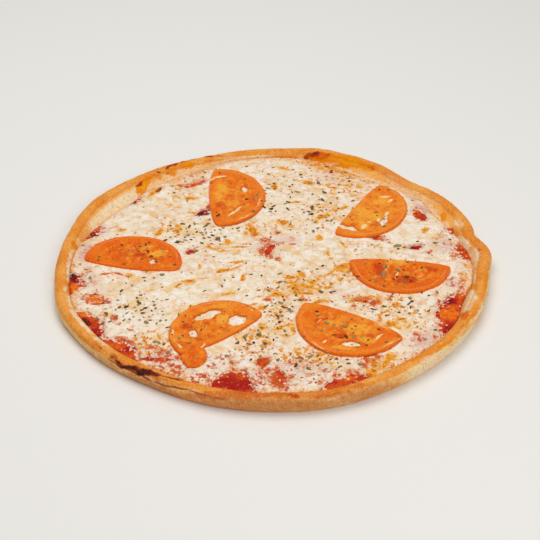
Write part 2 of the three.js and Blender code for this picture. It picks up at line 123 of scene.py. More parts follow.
# A seed chamber's place and its half sizes, as shares of half the cut; and its depth.
WELL_OUT = 0.56
WELL_HALF = (0.2, 0.15)
WELL_DEEP = 1.3
# How far the flesh curls up towards the skin.
CURL = 0.7

# The slope counts as wide where its humps add this much.
WIDE_SLOPE = 5
# How far the cheese's edge climbs a steep slope and a wide one.
CLIMB = (1.2, 2.7)
# Swells are given as layers: millimetres high, every so many millimetres, and a salt.
TORN_EDGE = [(1.5, 6, 55), (1, 2.8, 65)]
# The CAD model's crust has this many points round, at this much less than the outline.
CAD_AROUND = 108
CAD_INSET = 0.058


def scatter(*keys):
    """Values from 0 to 1 that look random: the fraction of 43758.5453 sin(4.1414 + sum of keys)."""
    mixed = 4.1414
    for i, key in enumerate(keys):
        mixed = mixed + key * (12.9898 + 65.2347 * i)
    return np.modf(np.abs(np.modf(np.sin(mixed) * 43758.5453)[0] + 1))[0]


def ease(value, low, high):
    """0 below low, 1 above high and t t (3 - 2 t) between them."""
    t = np.clip((value - low) / (high - low), 0, 1)
    return t * t * (3 - 2 * t)


def lerp(a, b, share):
    """a + (b - a) share."""
    return a + (b - a) * share


def fade(distance, reach):
    """1 up to a distance of 0, then exp(-distance / reach)."""
    return np.exp(-np.clip(distance, 0, None) / reach)


def swell(x, y, scale, salt):
    """Smooth heights from -1 to 1: scattered corner values every scale mm, eased between."""
    column, row = np.floor(x / scale), np.floor(y / scale)
    across, along = ease(x / scale - column, 0, 1), ease(y / scale - row, 0, 1)

    def corner(i, j):
        """The scattered value, from -1 to 1, at a corner of the square round the place."""
        return scatter(column + i, row + j, salt) * 2 - 1

    near = lerp(corner(0, 0), corner(1, 0), across)
    far = lerp(corner(0, 1), corner(1, 1), across)
    return lerp(near, far, along)


def swells(x, y, layers):
    """The sum of swells, each layer (amount, scale, salt)."""
    return sum(amount * swell(x, y, scale, salt) for amount, scale, salt in layers)


def wave(x, y, seen_y, layers):
    """A seen place moved by swells, each layer (amount, scale, salt along X, salt along Y)."""
    along_x = [(amount, scale, salts[0]) for amount, scale, *salts in layers]
    along_y = [(amount, scale, salts[1]) for amount, scale, *salts in layers]
    return x + swells(x, y, along_x), seen_y + swells(x, y, along_y)


def seen(y, height):
    """How far back a place seems to lie: y + LEAN (height - the cheese's)."""
    return y + LEAN * (height - CHEESE_TOP)


def ring_angles(around):
    """The angles of a ring's points, as one row: whole steps of a turn by their number."""
    return (np.arange(around) * TAU / around)[None, :]


def hump_sum(humps, angle, steepness=2):
    """The sum of by exp(-|off|^steepness), off being the wrapped angle in units of the width."""
    total = np.zeros_like(angle)
    for at, wide, by in humps:
        apart = angle - math.radians(at)
        off = np.abs(np.arctan2(np.sin(apart), np.cos(apart))) / math.radians(wide)
        total = total + by * np.exp(-(off**steepness))
    return total


def turned(x, y, degrees):
    """A place in a frame turned by that many degrees: (x cos + y sin, y cos - x sin)."""
    c, s = math.cos(math.radians(degrees)), math.sin(math.radians(degrees))
    return x * c + y * s, y * c - x * s


def ellipse_reach(x, y, patch):
    """Distance from an ellipse's middle in its own half sizes: 1 on its edge."""
    at_x, at_y, long, short, turn = patch
    along, side = turned(x - at_x, y - at_y, turn)
    return np.hypot(along / long, side / short)


def outside(x, y, patch):
    """About how many millimetres a place is outside an ellipse: (reach - 1) times its half width."""
    return (ellipse_reach(x, y, patch) - 1) * patch[3]


def outside_all(x, y, patches):
    """The least distance outside any of several ellipses."""
    return np.min([outside(x, y, patch) for patch in patches], axis=0)


def outline_radius(angle):
    """The pizza's radius: the plain one and the sum of its humps."""
    return PIZZA_RADIUS + hump_sum(OUTLINE_HUMPS, angle)


def foot_radius(angle):
    """Where the inner slope meets the floor: the outline less the rim, its slope and its humps."""
    return outline_radius(angle) - RIM_WIDTH - RIM_SLOPE - hump_sum(SLOPE_HUMPS, angle)


def cheese_radius(angle):
    """The cheese's edge: the slope's foot less two gaps, drawn back by the bays."""
    return foot_radius(angle) - 2 * LAYER_GAP + hump_sum(CHEESE_BAYS, angle, BAY_STEEPNESS)


def bay_share(angle):
    """1 where a bay has drawn the cheese back from the crust by 2.5 mm, 0 where they meet."""
    return ease(-hump_sum(CHEESE_BAYS, angle, BAY_STEEPNESS), 0.3, 2.5)


def slope_wide(angle):
    """0 where the crust's inner slope is steep and 1 where its humps make it 5 mm wider, eased."""
    return ease(hump_sum(SLOPE_HUMPS, angle) / WIDE_SLOPE, 0, 1)


def cheese_edge(angle):
    """The cheese's edge as it shows: up the crust's slope by the climb, and torn by swells in bays."""
    plain = cheese_radius(angle)
    torn = swells(plain * np.cos(angle), plain * np.sin(angle), TORN_EDGE)
    return plain + lerp(lerp(*CLIMB, slope_wide(angle)), torn, bay_share(angle))


def box_middle():
    """The middle of the crust's box in the plan, from the CAD model's points round it."""
    angle = ring_angles(CAD_AROUND)
    radius = outline_radius(angle) - CAD_INSET
    x, y = radius * np.cos(angle), radius * np.sin(angle)
    return (x.min() + x.max()) / 2, (y.min() + y.max()) / 2


MIDDLE = np.array([*box_middle(), 0])


def put_mesh(name, points, quads, triangles, marks):
    """An object from arrays of points in mm, of corners and of one value per point for each mark."""
    mesh = bpy.data.meshes.new(name)
    corners = np.concatenate([quads.ravel(), triangles.ravel()]).astype(np.int32)
    sizes = np.concatenate([np.full(len(quads), 4), np.full(len(triangles), 3)]).astype(np.int32)
    starts = (np.cumsum(sizes) - sizes).astype(np.int32)
    mesh.vertices.add(len(points))
    mesh.vertices.foreach_set("co", ((points - MIDDLE) * MM).astype(np.float32).ravel())
    mesh.loops.add(len(corners))
    mesh.loops.foreach_set("vertex_index", corners)
    mesh.polygons.add(len(sizes))
    mesh.polygons.foreach_set("loop_start", starts)
    mesh.polygons.foreach_set("loop_total", sizes)
    mesh.polygons.foreach_set("use_smooth", np.ones(len(sizes), bool))
    mesh.update(calc_edges=True)
    mesh.validate()
    for mark, values in marks.items():
        attribute = mesh.attributes.new(mark, "FLOAT", "POINT")
        attribute.data.foreach_set("value", values.astype(np.float32).ravel())
    made = bpy.data.objects.new(name, mesh)
    bpy.context.scene.collection.objects.link(made)
    return made


def ring_faces(rows, around, start=0):
    """Quads between rows of anticlockwise rings, and triangles to a point below and one above.

    The points are the rows in order, then the point below, then the point above.
    """
    ids = start + np.arange(rows * around).reshape(rows, around)
    after = np.roll(ids, -1, axis=1)
    quads = np.stack([ids[:-1], after[:-1], after[1:], ids[1:]], axis=-1).reshape(-1, 4)
    low = np.full(around, start + rows * around)
    under = np.stack([after[0], ids[0], low], axis=-1)
    over = np.stack([ids[-1], after[-1], low + 1], axis=-1)
    return quads, np.concatenate([under, over])


def closed_points(x, y, z):
    """The points of rows of rings, then the middle of the first row and of the last row."""
    grid = np.stack([x, y, z], axis=-1)
    return np.concatenate([grid.reshape(-1, 3), [grid[0].mean(axis=0)], [grid[-1].mean(axis=0)]])


def with_ends(marks):
    """Each mark's values for the same points: its grid, then the means of the first and last row."""
    return {
        mark: np.concatenate([grid.ravel(), [grid[0].mean()], [grid[-1].mean()]])
        for mark, grid in marks.items()
    }


def ring_piece(name, x, y, height, marks):
    """An object whose closed skin is rows of rings, from the underside's middle to the top's."""
    quads, triangles = ring_faces(*x.shape)
    return put_mesh(name, closed_points(x, y, height), quads, triangles, with_ends(marks))


def stack_rows(parts):
    """Rows of (radius, height) arrays, broadcast to one shape and stacked from under to over."""
    rows = [np.broadcast_arrays(radius, height) for radius, height in parts]
    return np.concatenate([row[0] for row in rows]), np.concatenate([row[1] for row in rows])


def patch_sum(x, y, patches, soft):
    """Strongest of several ellipses, each (x, y, long, short, turn, amount), that fade at the edge.

    The fade is eased from 1 - soft to 1 + soft of the ellipse's reach.
    """
    total = np.zeros_like(x)
    for patch in patches:
        reach = ellipse_reach(x, y, patch[:5])
        total = np.maximum(total, patch[5] * (1 - ease(reach, 1 - soft, 1 + soft)))
    return total


def patch_marks(x, y, sets):
    """One mark for each named set of patches, each set (patches, soft)."""
    return {mark: patch_sum(x, y, patches, soft) for mark, (patches, soft) in sets.items()}


# Colour patches on the crust: x, y as seen, half length, half width, turn, amount.
# Browned spots and lines, and painted shade in the folds at the right notch.
BROWNED_AND_FOLD_SHADE = [
    (34, 141.5, 5.5, 3.6, 10, 1), (28, 138.5, 3, 4.5, 0, 0.7), (44, 141, 7, 2, -8, 0.5),
    (15, 147, 16, 3, 0, 0.4), (76, 123, 4, 3, -45, 0.6), (62, 132, 2, 1.5, 0, 0.4),
    (81, 95, 2.5, 4, 0, 0.5), (-98, 101, 1.6, 4.5, -25, 0.9), (-85, 117.5, 1.6, 1.8, 0, 1),
    (-76, 124.5, 5, 1.4, 48, 1), (-72, 129, 2.5, 1.6, 30, 0.9), (-67, 133, 1.6, 1.3, 0, 0.8),
    (-60, 137, 5, 1.1, 35, 0.6), (-50, 139.5, 3, 2, 0, 0.8), (-44, 140.5, 8, 1.1, 2, 0.8),
    (-78, 117, 1.2, 2, 0, 0.6), (-133, 23, 1.8, 1.6, 0, 0.8), (121, 41, 1.2, 4, 25, 0.9),
    (128, 34, 3, 4.5, -30, 0.8), (144, 10, 2, 3, 0, 0.5), (137, -4, 1.4, 7, -8, 0.6),
    (122, -76, 4, 1.3, 45, 0.5), (-61, -124.5, 7, 0.7, -22, 0.9), (-110, -92, 10, 0.8, -48, 0.6),
    (-60, -133, 14, 1, -18, 0.7), (12, -142.5, 4, 2.4, -8, 0.6), (-20, -138, 12, 2, 6, 0.3),
    (30, -139, 18, 1.5, 8, 0.3),
]
OILY = [
    (42, 136, 18, 8, -12, 1), (60, 130, 14, 7, -28, 1.25), (70, 125, 12, 5, -40, 1),
    (12, 139, 14, 4, 0, 0.8), (-10, 145, 16, 3, 5, 0.6), (-63, 129, 5, 5, 0, 1.1),
    (-75, 118, 4, 6, 30, 0.9), (-95, 99, 3.4, 9, -20, 1.4), (-92, 110, 3, 4, 0, 1),
    (-95, 87, 3, 6, 0, 1.2), (-139, 22, 2.5, 6, 10, 0.9), (-137, -33, 2, 4, 10, 1.2),
    (124.5, 53, 2, 6, -12, 1.2), (131, 31, 3, 5, 0, 0.6), (133, -32, 4, 5, 0, 0.9),
    (138, -10, 2, 6, 0, 0.5), (127, -62, 3, 5, -25, 0.6), (116, 72, 3, 5, 30, 0.5),
    (143.5, -28, 1.6, 18, -13, 0.8), (132, -63, 1.7, 14, -32, 0.8), (110, -93, 14, 1.6, 42, 0.9),
    (88, -108, 14, 1.4, 32, 0.8), (-30, 139, 14, 2, 3, 0.6), (-15, -136, 26, 2.5, 4, 0.4),
    (40, -133, 16, 2, 12, 0.3), (-84, 112, 3, 5, 20, 0.8), (34, 129, 6, 4, 0, 0.9),
    (54, 124, 8, 3, -20, 1),
]
# Pale dough, and painted highlights along the inner lip on the left and along the outer edge on the
# right.
PALE_AND_HIGHLIT = [
    (-112, 72, 30, 8, 57, 1), (-90, 105, 5, 4, 0, 0.3), (-126, 50, 10, 5, 62, 0.8),
    (-139.5, -8, 1.8, 14, 5, 1), (-135, -40, 2.2, 15, 19, 1), (-123, -67, 2.2, 13, 36, 1),
    (-110, -86, 1.8, 9, 44, 0.7), (88, 104, 7, 9, -30, 0.35), (134, 44, 3, 7, 5, 0.6),
    (136, 15, 3, 10, 0, 0.9), (134, -42, 2.5, 6, 0, 0.8), (128, -58, 2, 6, -28, 0.7),
    (118, -100, 30, 6, 52, 0.8), (-70, 113, 14, 6, 30, 0.6), (-140, 10, 1.4, 8, -4, 0.7),
    (-130, -58, 1.6, 9, 28, 0.8), (98, -114, 26, 8, 46, 0.7), (141, 4, 3, 9, -4, 0.7),
    (-58, 122, 12, 5, 25, 0.4), (148, -22, 1.8, 20, -14, 0.6), (139, -56, 2, 18, -28, 0.8),
    (125, -85, 2.2, 16, -36, 0.8), (-148, -30, 1.6, 22, 6, 0.5), (84, -122, 13, 3, 32, 0.4),
    (98, -112, 13, 3.4, 42, 0.5), (130, -50, 3.6, 13, -22, 0.6), (-22, 139, 22, 1.8, 3, 0.7),
    (92, 102, 6, 14, 42, 0.4), (118, 76, 4, 16, 34, 0.35),
]
SCORCHED = [
    (-90, -113.5, 9, 2.2, -24, 1), (-81, -118, 7, 3, -16, 1), (-98, -108.5, 4, 1.3, -48, 0.8),
    (-101, -103, 1.8, 3, -20, 0.5), (-75, -119, 4, 1.8, -10, 0.8), (34, 142.5, 4, 2, 10, 0.6),
]
# Stained places, and painted shade in a fold at the right notch.
STAINED_AND_FOLD_SHADE = [
    (128, -40, 2.6, 9, -20, 1), (126, -64, 3, 6, -32, 0.7), (-137, -26, 1.5, 6, 14, 0.6),
    (132, 6, 2.5, 6, 10, 0.8), (-97.5, 101, 1.6, 4.5, -25, 0.9), (12, -142.5, 3.4, 2, -8, 0.9),
    (37, 140, 11, 6, -5, 0.7), (-99, 76, 4, 5, 0, 0.9), (78, 121, 5, 3, -50, 0.6),
    (-44, 140, 12, 2, 5, 0.6), (-74, 127, 8, 2.4, 45, 0.7), (128, 36, 2.4, 6, -30, 0.7),
]
TANNED = [
    (-20, -140, 55, 6, 4, 1), (-76, -121, 24, 4, -34, 0.9), (40, -136, 26, 3, 14, 0.8),
    (-146, -40, 3, 30, 12, 0.3), (-115, -90, 22, 3, -48, 0.6), (10, 147, 60, 2.4, 0, 0.4),
    (36, -141, 15, 3.4, 12, 1), (64, -132, 14, 2, 24, 0.6),
]
# Darker, browner parts of the side, lower down: browned dough, and painted shade.
BAKED_AND_SHADED_SIDE = [
    (-12, -152, 66, 9, 1, 1), (54, -143, 26, 7, 22, 0.9), (-78, -132, 26, 6, -33, 1),
    (-108, -109, 22, 5, -46, 0.6), (-138, -72, 5, 22, 26, 0.4),
]
CRUST_PATCHES = {
    "browned": (BROWNED_AND_FOLD_SHADE, 0.6), "oily": (OILY, 0.6), "pale": (PALE_AND_HIGHLIT, 0.6), "scorched": (SCORCHED, 0.8),
    "stained": (STAINED_AND_FOLD_SHADE, 0.6), "tanned": (TANNED, 0.8), "baked": (BAKED_AND_SHADED_SIDE, 0.6),
}
# Relief of the crust: long creases in its side and blisters on its top.
CREASE = [
    (-101, -107.5, 6, 1.1, -40, 0.7), (-90, -116, 9, 1.3, -38, 0.9), (-80, -123.5, 6, 1.2, -42, 0.9),
    (-70, -130, 7, 1, -32, 0.9), (-58, -133.5, 8, 0.9, -12, 0.9), (-45, -139, 10, 0.8, -28, 0.8),
    (-33, -144, 6, 0.7, -20, 0.7), (-64, -123, 9, 0.9, -22, 0.8), (-110, -93, 9, 0.8, -45, 0.5),
]
BLISTERS = [
    (34, 141, 6, 4, 5, 0.7), (-85, 117.5, 3, 2.5, 30, 0.35), (-75, 125, 5, 2.5, 45, 0.35),
    (145, 8, 4, 6, 0, 0.3), (-20, -140, 9, 2.5, 6, 0.25), (60, -129, 8, 2.5, 24, 0.25),
    (110, 100, 4, 7, -45, 0.4), (-142, -30, 3, 8, 10, 0.3),
]
CREASE_DEEP = 0.35
BLISTER_HIGH = 0.8
# Where the browning of the rim begins on its side, in degrees of the section, and its humps.
BROWNING_FROM = 18
BROWNING_HUMPS = [(-105, 26, 44), (-65, 24, 30), (-30, 22, 38)]
BROWNING_SOFT = 9
# Swells of the baked dough, of its bulging side and of the edges of its patches.
DOUGH_SWELLS = [(0.35, 14, 3), (0.2, 6, 4), (0.2, 2.9, 31), (0.1, 1.4, 32)]
BULGE_SWELLS = [(0.16, 4.5, 33)]
BROWNING_SWELLS = [(7, 7, 36)]
CRUST_WAVES = [(1.1, 4, 34, 35), (0.8, 1.9, 38, 39)]
# The section: points round, the side's own angles and rows, and the rows of the inner slope.
CRUST_AROUND = 1080
SIDE_TURN = (-76, 146)
SIDE_ROWS = 46
SLOPE_ROWS = 18
# The underside's rings: a share of the radius, and how far the outer one stays in.
UNDER_SHARE = 0.6
UNDER_INSET = 4
# The floor's two rings, as shares of the slope's foot.
FLOOR_SHARES = (0.96, 0.6)
# Millimetres along the outline for each degree.
ALONG_DEGREE = 2.6
# The side's roundness, the height of its widest place and that of the slope's upper end.
SIDE_STEEPNESS = 0.8
WIDEST_SHARE = 0.56
BROW_SHARE = 0.8
# A film of cheese reaches this far up a steep slope and a wide one.
FILM_REACH = (2, 6)


def crust_section(angle):
    """Radii and heights of the section, and three values that follow it: rise, skirt and lip.

    Underside, a side that is |cos|^0.8 by sin, the rim's top, an eased inner slope and the floor.
    Rise is 1 on the top, skirt is 1 on the side, and lip is the section's own angle in degrees.
    """
    outline, foot = outline_radius(angle), foot_radius(angle)
    top = RIM_HEIGHT + hump_sum(RIM_TOP_HUMPS, angle)
    turn = np.radians(np.linspace(*SIDE_TURN, SIDE_ROWS))[:, None]
    across = np.sign(np.cos(turn)) * np.abs(np.cos(turn)) ** SIDE_STEEPNESS
    widest = top * WIDEST_SHARE
    share = np.linspace(0.05, 1, SLOPE_ROWS)[:, None]
    down = ease(share, 0, 1)
    flat = np.zeros((1, 1))
    radius, height = stack_rows([
        (np.full_like(angle, UNDER_SHARE * PIZZA_RADIUS), flat),
        (outline - UNDER_INSET, flat),
        (outline - RIM_WIDTH / 2 + RIM_WIDTH / 2 * across,
         widest + np.where(turn < 0, widest, top - widest) * np.sin(turn)),
        (lerp(outline - RIM_WIDTH, foot, share), lerp(top * BROW_SHARE, FLOOR_HEIGHT, down)),
        (foot * FLOOR_SHARES[0], flat + FLOOR_HEIGHT),
        (foot * FLOOR_SHARES[1], flat + FLOOR_HEIGHT),
    ])
    side = np.clip(np.cos(turn), 0, 1) * (turn > -1)
    rise = np.concatenate([flat, flat, np.clip(np.sin(turn), 0, 1), 1 - 0.7 * share, flat, flat])
    skirt = np.concatenate([flat, flat, side, 0 * share, flat, flat])
    start, end = SIDE_TURN[1], SIDE_TURN[1] + 100
    lip = np.concatenate([
        flat - 90, flat - 90, np.degrees(turn), lerp(start, end, share), flat + end, flat + end,
    ])
    return radius, height, rise, skirt, lip


def crust_marks(x, y, seen_y, angle, skirt, lip):
    """The crust's patches, hidden at the back of the side, and how golden, inner and filmed it is.

    The film is exp(-(up / reach)^2) up the slope, less at the front, and none in bays.
    """
    shown = 1 - ease(skirt * np.sin(angle), 0.15, 0.6)
    wavy_x, wavy_y = wave(x, y, seen_y, CRUST_WAVES)
    patches = patch_marks(wavy_x, wavy_y, CRUST_PATCHES)
    marks = {mark: shown * values for mark, values in patches.items()}
    browning = BROWNING_FROM + hump_sum(BROWNING_HUMPS, angle) + swells(x, y, BROWNING_SWELLS)
    up_slope = np.clip(np.hypot(x, y) - foot_radius(angle), 0, None)
    film = np.exp(-((up_slope / lerp(*FILM_REACH, slope_wide(angle))) ** 2))
    marks["film"] = film * ease(np.sin(angle), -0.95, -0.5) * (1 - bay_share(angle))
    marks["on_top"] = ease(lip - browning, -BROWNING_SOFT, BROWNING_SOFT)
    marks["inner"] = ease(lip, 140, 175) + 0 * x
    return marks


def crust_piece():
    """The dough's section turned round the middle, with swells, blisters, creases and a bulge."""
    angle = ring_angles(CRUST_AROUND)
    radius, height, rise, skirt, lip = crust_section(angle)
    x, y = radius * np.cos(angle), radius * np.sin(angle)
    seen_y = seen(y, height)
    crease = patch_sum(x, seen_y, CREASE, 0.6) * (rise > 0)
    blister = patch_sum(x, seen_y, BLISTERS, 0.8)
    relief = swells(x, y, DOUGH_SWELLS) + BLISTER_HIGH * blister - CREASE_DEEP * crease
    height = height + rise * relief
    along = np.degrees(angle) * ALONG_DEGREE + 0 * height
    bulge = swells(along, height, BULGE_SWELLS) * skirt
    x, y = x + bulge * np.cos(angle), y + bulge * np.sin(angle)
    marks = crust_marks(x, y, seen_y, angle, skirt, lip)
    marks["film"] = marks["film"] * (rise > 0)
    # The creases also carry painted shade.
    marks["crease"] = crease
    return ring_piece("crust", x, y, height, marks)


SAUCE_AROUND = 720
SAUCE_ROWS = 120
SAUCE_RIM = 0.5
# Crimson, dark and golden patches on the sauce.
CRIMSON = [
    (-24, -131, 15, 6, -2, 1), (-25, -123, 7, 4, 0, 0.5), (115, -80, 5, 8, -20, 1),
    (118, -48, 6, 5, 20, 1), (-135, -14, 4, 9, 12, 1), (-127, 36, 5, 5, 60, 1),
    (-92, -95, 5, 5, -30, 0.7), (-115, -78, 4, 7, 24, 1), (107, 52, 6, 3, -20, 0.6),
    (101, 16, 6, 3, 12, 1), (-50, 64, 7, 3, 45, 0.7), (-57, 14, 4, 3, 50, 0.7),
    (36, -131, 4, 3, 10, 0.6), (0, 20, 3, 4, 0, 0.6), (-80, -104, 9, 3, -6, 0.6),
]
DARK_SAUCE = [
    (-136.5, -14, 3, 8, 12, 1), (-127, 35, 4, 2.4, 20, 0.9), (98, 14, 3, 2.4, 12, 0.8),
    (-122, -66, 2, 6, 34, 1), (-114, -83, 4, 2.6, -30, 0.9), (-49, 61, 5, 3, 10, 1),
    (-14, -130, 4, 5, 0, 0.5), (119, -49, 3.4, 3, 0, 0.7), (-99, 75, 4, 4, 30, 1),
    (-101, -101, 2, 4, -10, 0.8), (-66, -107, 6, 1.6, -10, 0.5), (72, 26, 3, 1.6, 0, 0.5),
]
GOLDEN_SAUCE = [
    (-122, -54, 7, 6, 10, 1), (-134, -30, 3, 7, 14, 1), (117, -62, 9, 7, -20, 0.75),
    (131, 4, 4, 7, 10, 0.4), (50, -124, 9, 4, 30, 0.6), (-96, -104, 5, 2.4, -30, 0.9),
    (-98, -90, 5, 4, 0, 0.4), (-25, -119, 7, 2.4, 0, 0.6), (-59, 101, 10, 2, 27, 0.7),
    (128, -38, 4, 9, -20, 0.7), (-119, -41, 9, 5, 0, 1), (60, -45, 6, 3, 0, 0.6),
    (104, 62, 3, 4, 0, 0.6), (46, -126, 6, 3, 20, 0.6),
]
SAUCE_PATCHES = {"crimson": (CRIMSON, 0.5), "dark": (DARK_SAUCE, 0.5), "golden": (GOLDEN_SAUCE, 0.5)}
# The bed lies this far below the CAD model's, under swells as high.
BED_LOWER = 0.2
BED_SWELLS = [(0.2, 9, 11)]
PULP_SWELLS = [(0.36, 3.4, 41), (0.2, 1.6, 42)]
SAUCE_WAVES = [(1.2, 3.4, 43, 44)]
# How much higher the sauce stands where no cheese covers it.
BARE_RISE = 1.25
# The millimetres past the cheese's edge, and outside a hole, over which it rises.
BARE_AT_EDGE = (-2, 0.5)
BARE_AT_HOLE = (-0.6, 1.6)
# Over how many millimetres crumbs of cheese thin out in bays and in holes.
CRUMBS_IN_BAY = 3.2
CRUMBS_IN_HOLE = 0.7


def sauce_height(x, y):
    """The sauce's top: a swell of 0.2 mm, and where no cheese covers it a rise with pulpy swells."""
    angle, radius = np.arctan2(y, x), np.hypot(x, y)
    base = SAUCE_TOP - BED_LOWER + swells(x, y, BED_SWELLS)
    bare = np.maximum(
        ease(radius - cheese_edge(angle), *BARE_AT_EDGE),
        1 - ease(outside_all(x, y, CHEESE_WINDOWS), *BARE_AT_HOLE),
    )
    return base + bare * (BARE_RISE + swells(x, y, PULP_SWELLS))


def crumb_share(x, y):
    """How likely crumbs of cheese lie on bare sauce: it fades from the cheese into bays and holes."""
    beyond = np.hypot(x, y) - cheese_edge(np.arctan2(y, x))
    inside = -outside_all(x, y, CHEESE_WINDOWS)
    return np.where(beyond > 0, fade(beyond, CRUMBS_IN_BAY), fade(inside, CRUMBS_IN_HOLE))


def sauce_piece():
    """A closed disc with a pulpy top: rings from the underside's middle out and back to the top's.

    The top's rings are at share^0.8 of the edge, so they lie closer together near it.
    """
    angle = ring_angles(SAUCE_AROUND)
    edge = foot_radius(angle) + 2 * LAYER_GAP
    share = np.linspace(1, 0.01, SAUCE_ROWS)[:, None] ** 0.8
    flat = np.full((1, 1), SAUCE_LOW, float)
    top_radius = share * (edge - SAUCE_RIM)
    top_height = sauce_height(top_radius * np.cos(angle), top_radius * np.sin(angle))
    radius, height = stack_rows([
        (0.5 * edge, flat),
        (edge - 0.1, flat),
        (edge, flat + SAUCE_RIM),
        (top_radius, top_height - SAUCE_RIM * (share > 0.999)),
    ])
    x, y = radius * np.cos(angle), radius * np.sin(angle)
    marks = patch_marks(*wave(x, y, seen(y, height), SAUCE_WAVES), SAUCE_PATCHES)
    marks["crumbs"] = crumb_share(x, y)
    return ring_piece("sauce", x, y, height, marks)


def slice_place(piece, x, y):
    """A place in a slice's own frame: out along its heading, and across it."""
    return turned(x - piece["at"][0], y - piece["at"][1], piece["heading"])


def plan_place(piece, out, across):
    """The place in the plan of a point in a slice's own frame."""
    x, y = turned(out, across, -piece["heading"])
    return piece["at"][0] + x, piece["at"][1] + y


def outside_slice(piece, x, y):
    """About how many millimetres a place is outside a slice's outline."""
    out, across = slice_place(piece, x, y)
    wide = np.abs(across) / piece["half"]
    bow = np.sqrt(np.clip(1 - wide * wide, 0, 1))
    front = (np.hypot(out / piece["depth"], wide) - 1) * piece["depth"]
    back = np.maximum(-out - piece["past"] * bow ** piece["corner"], (wide - 1) * piece["half"])
    return np.where(out >= 0, front, back)


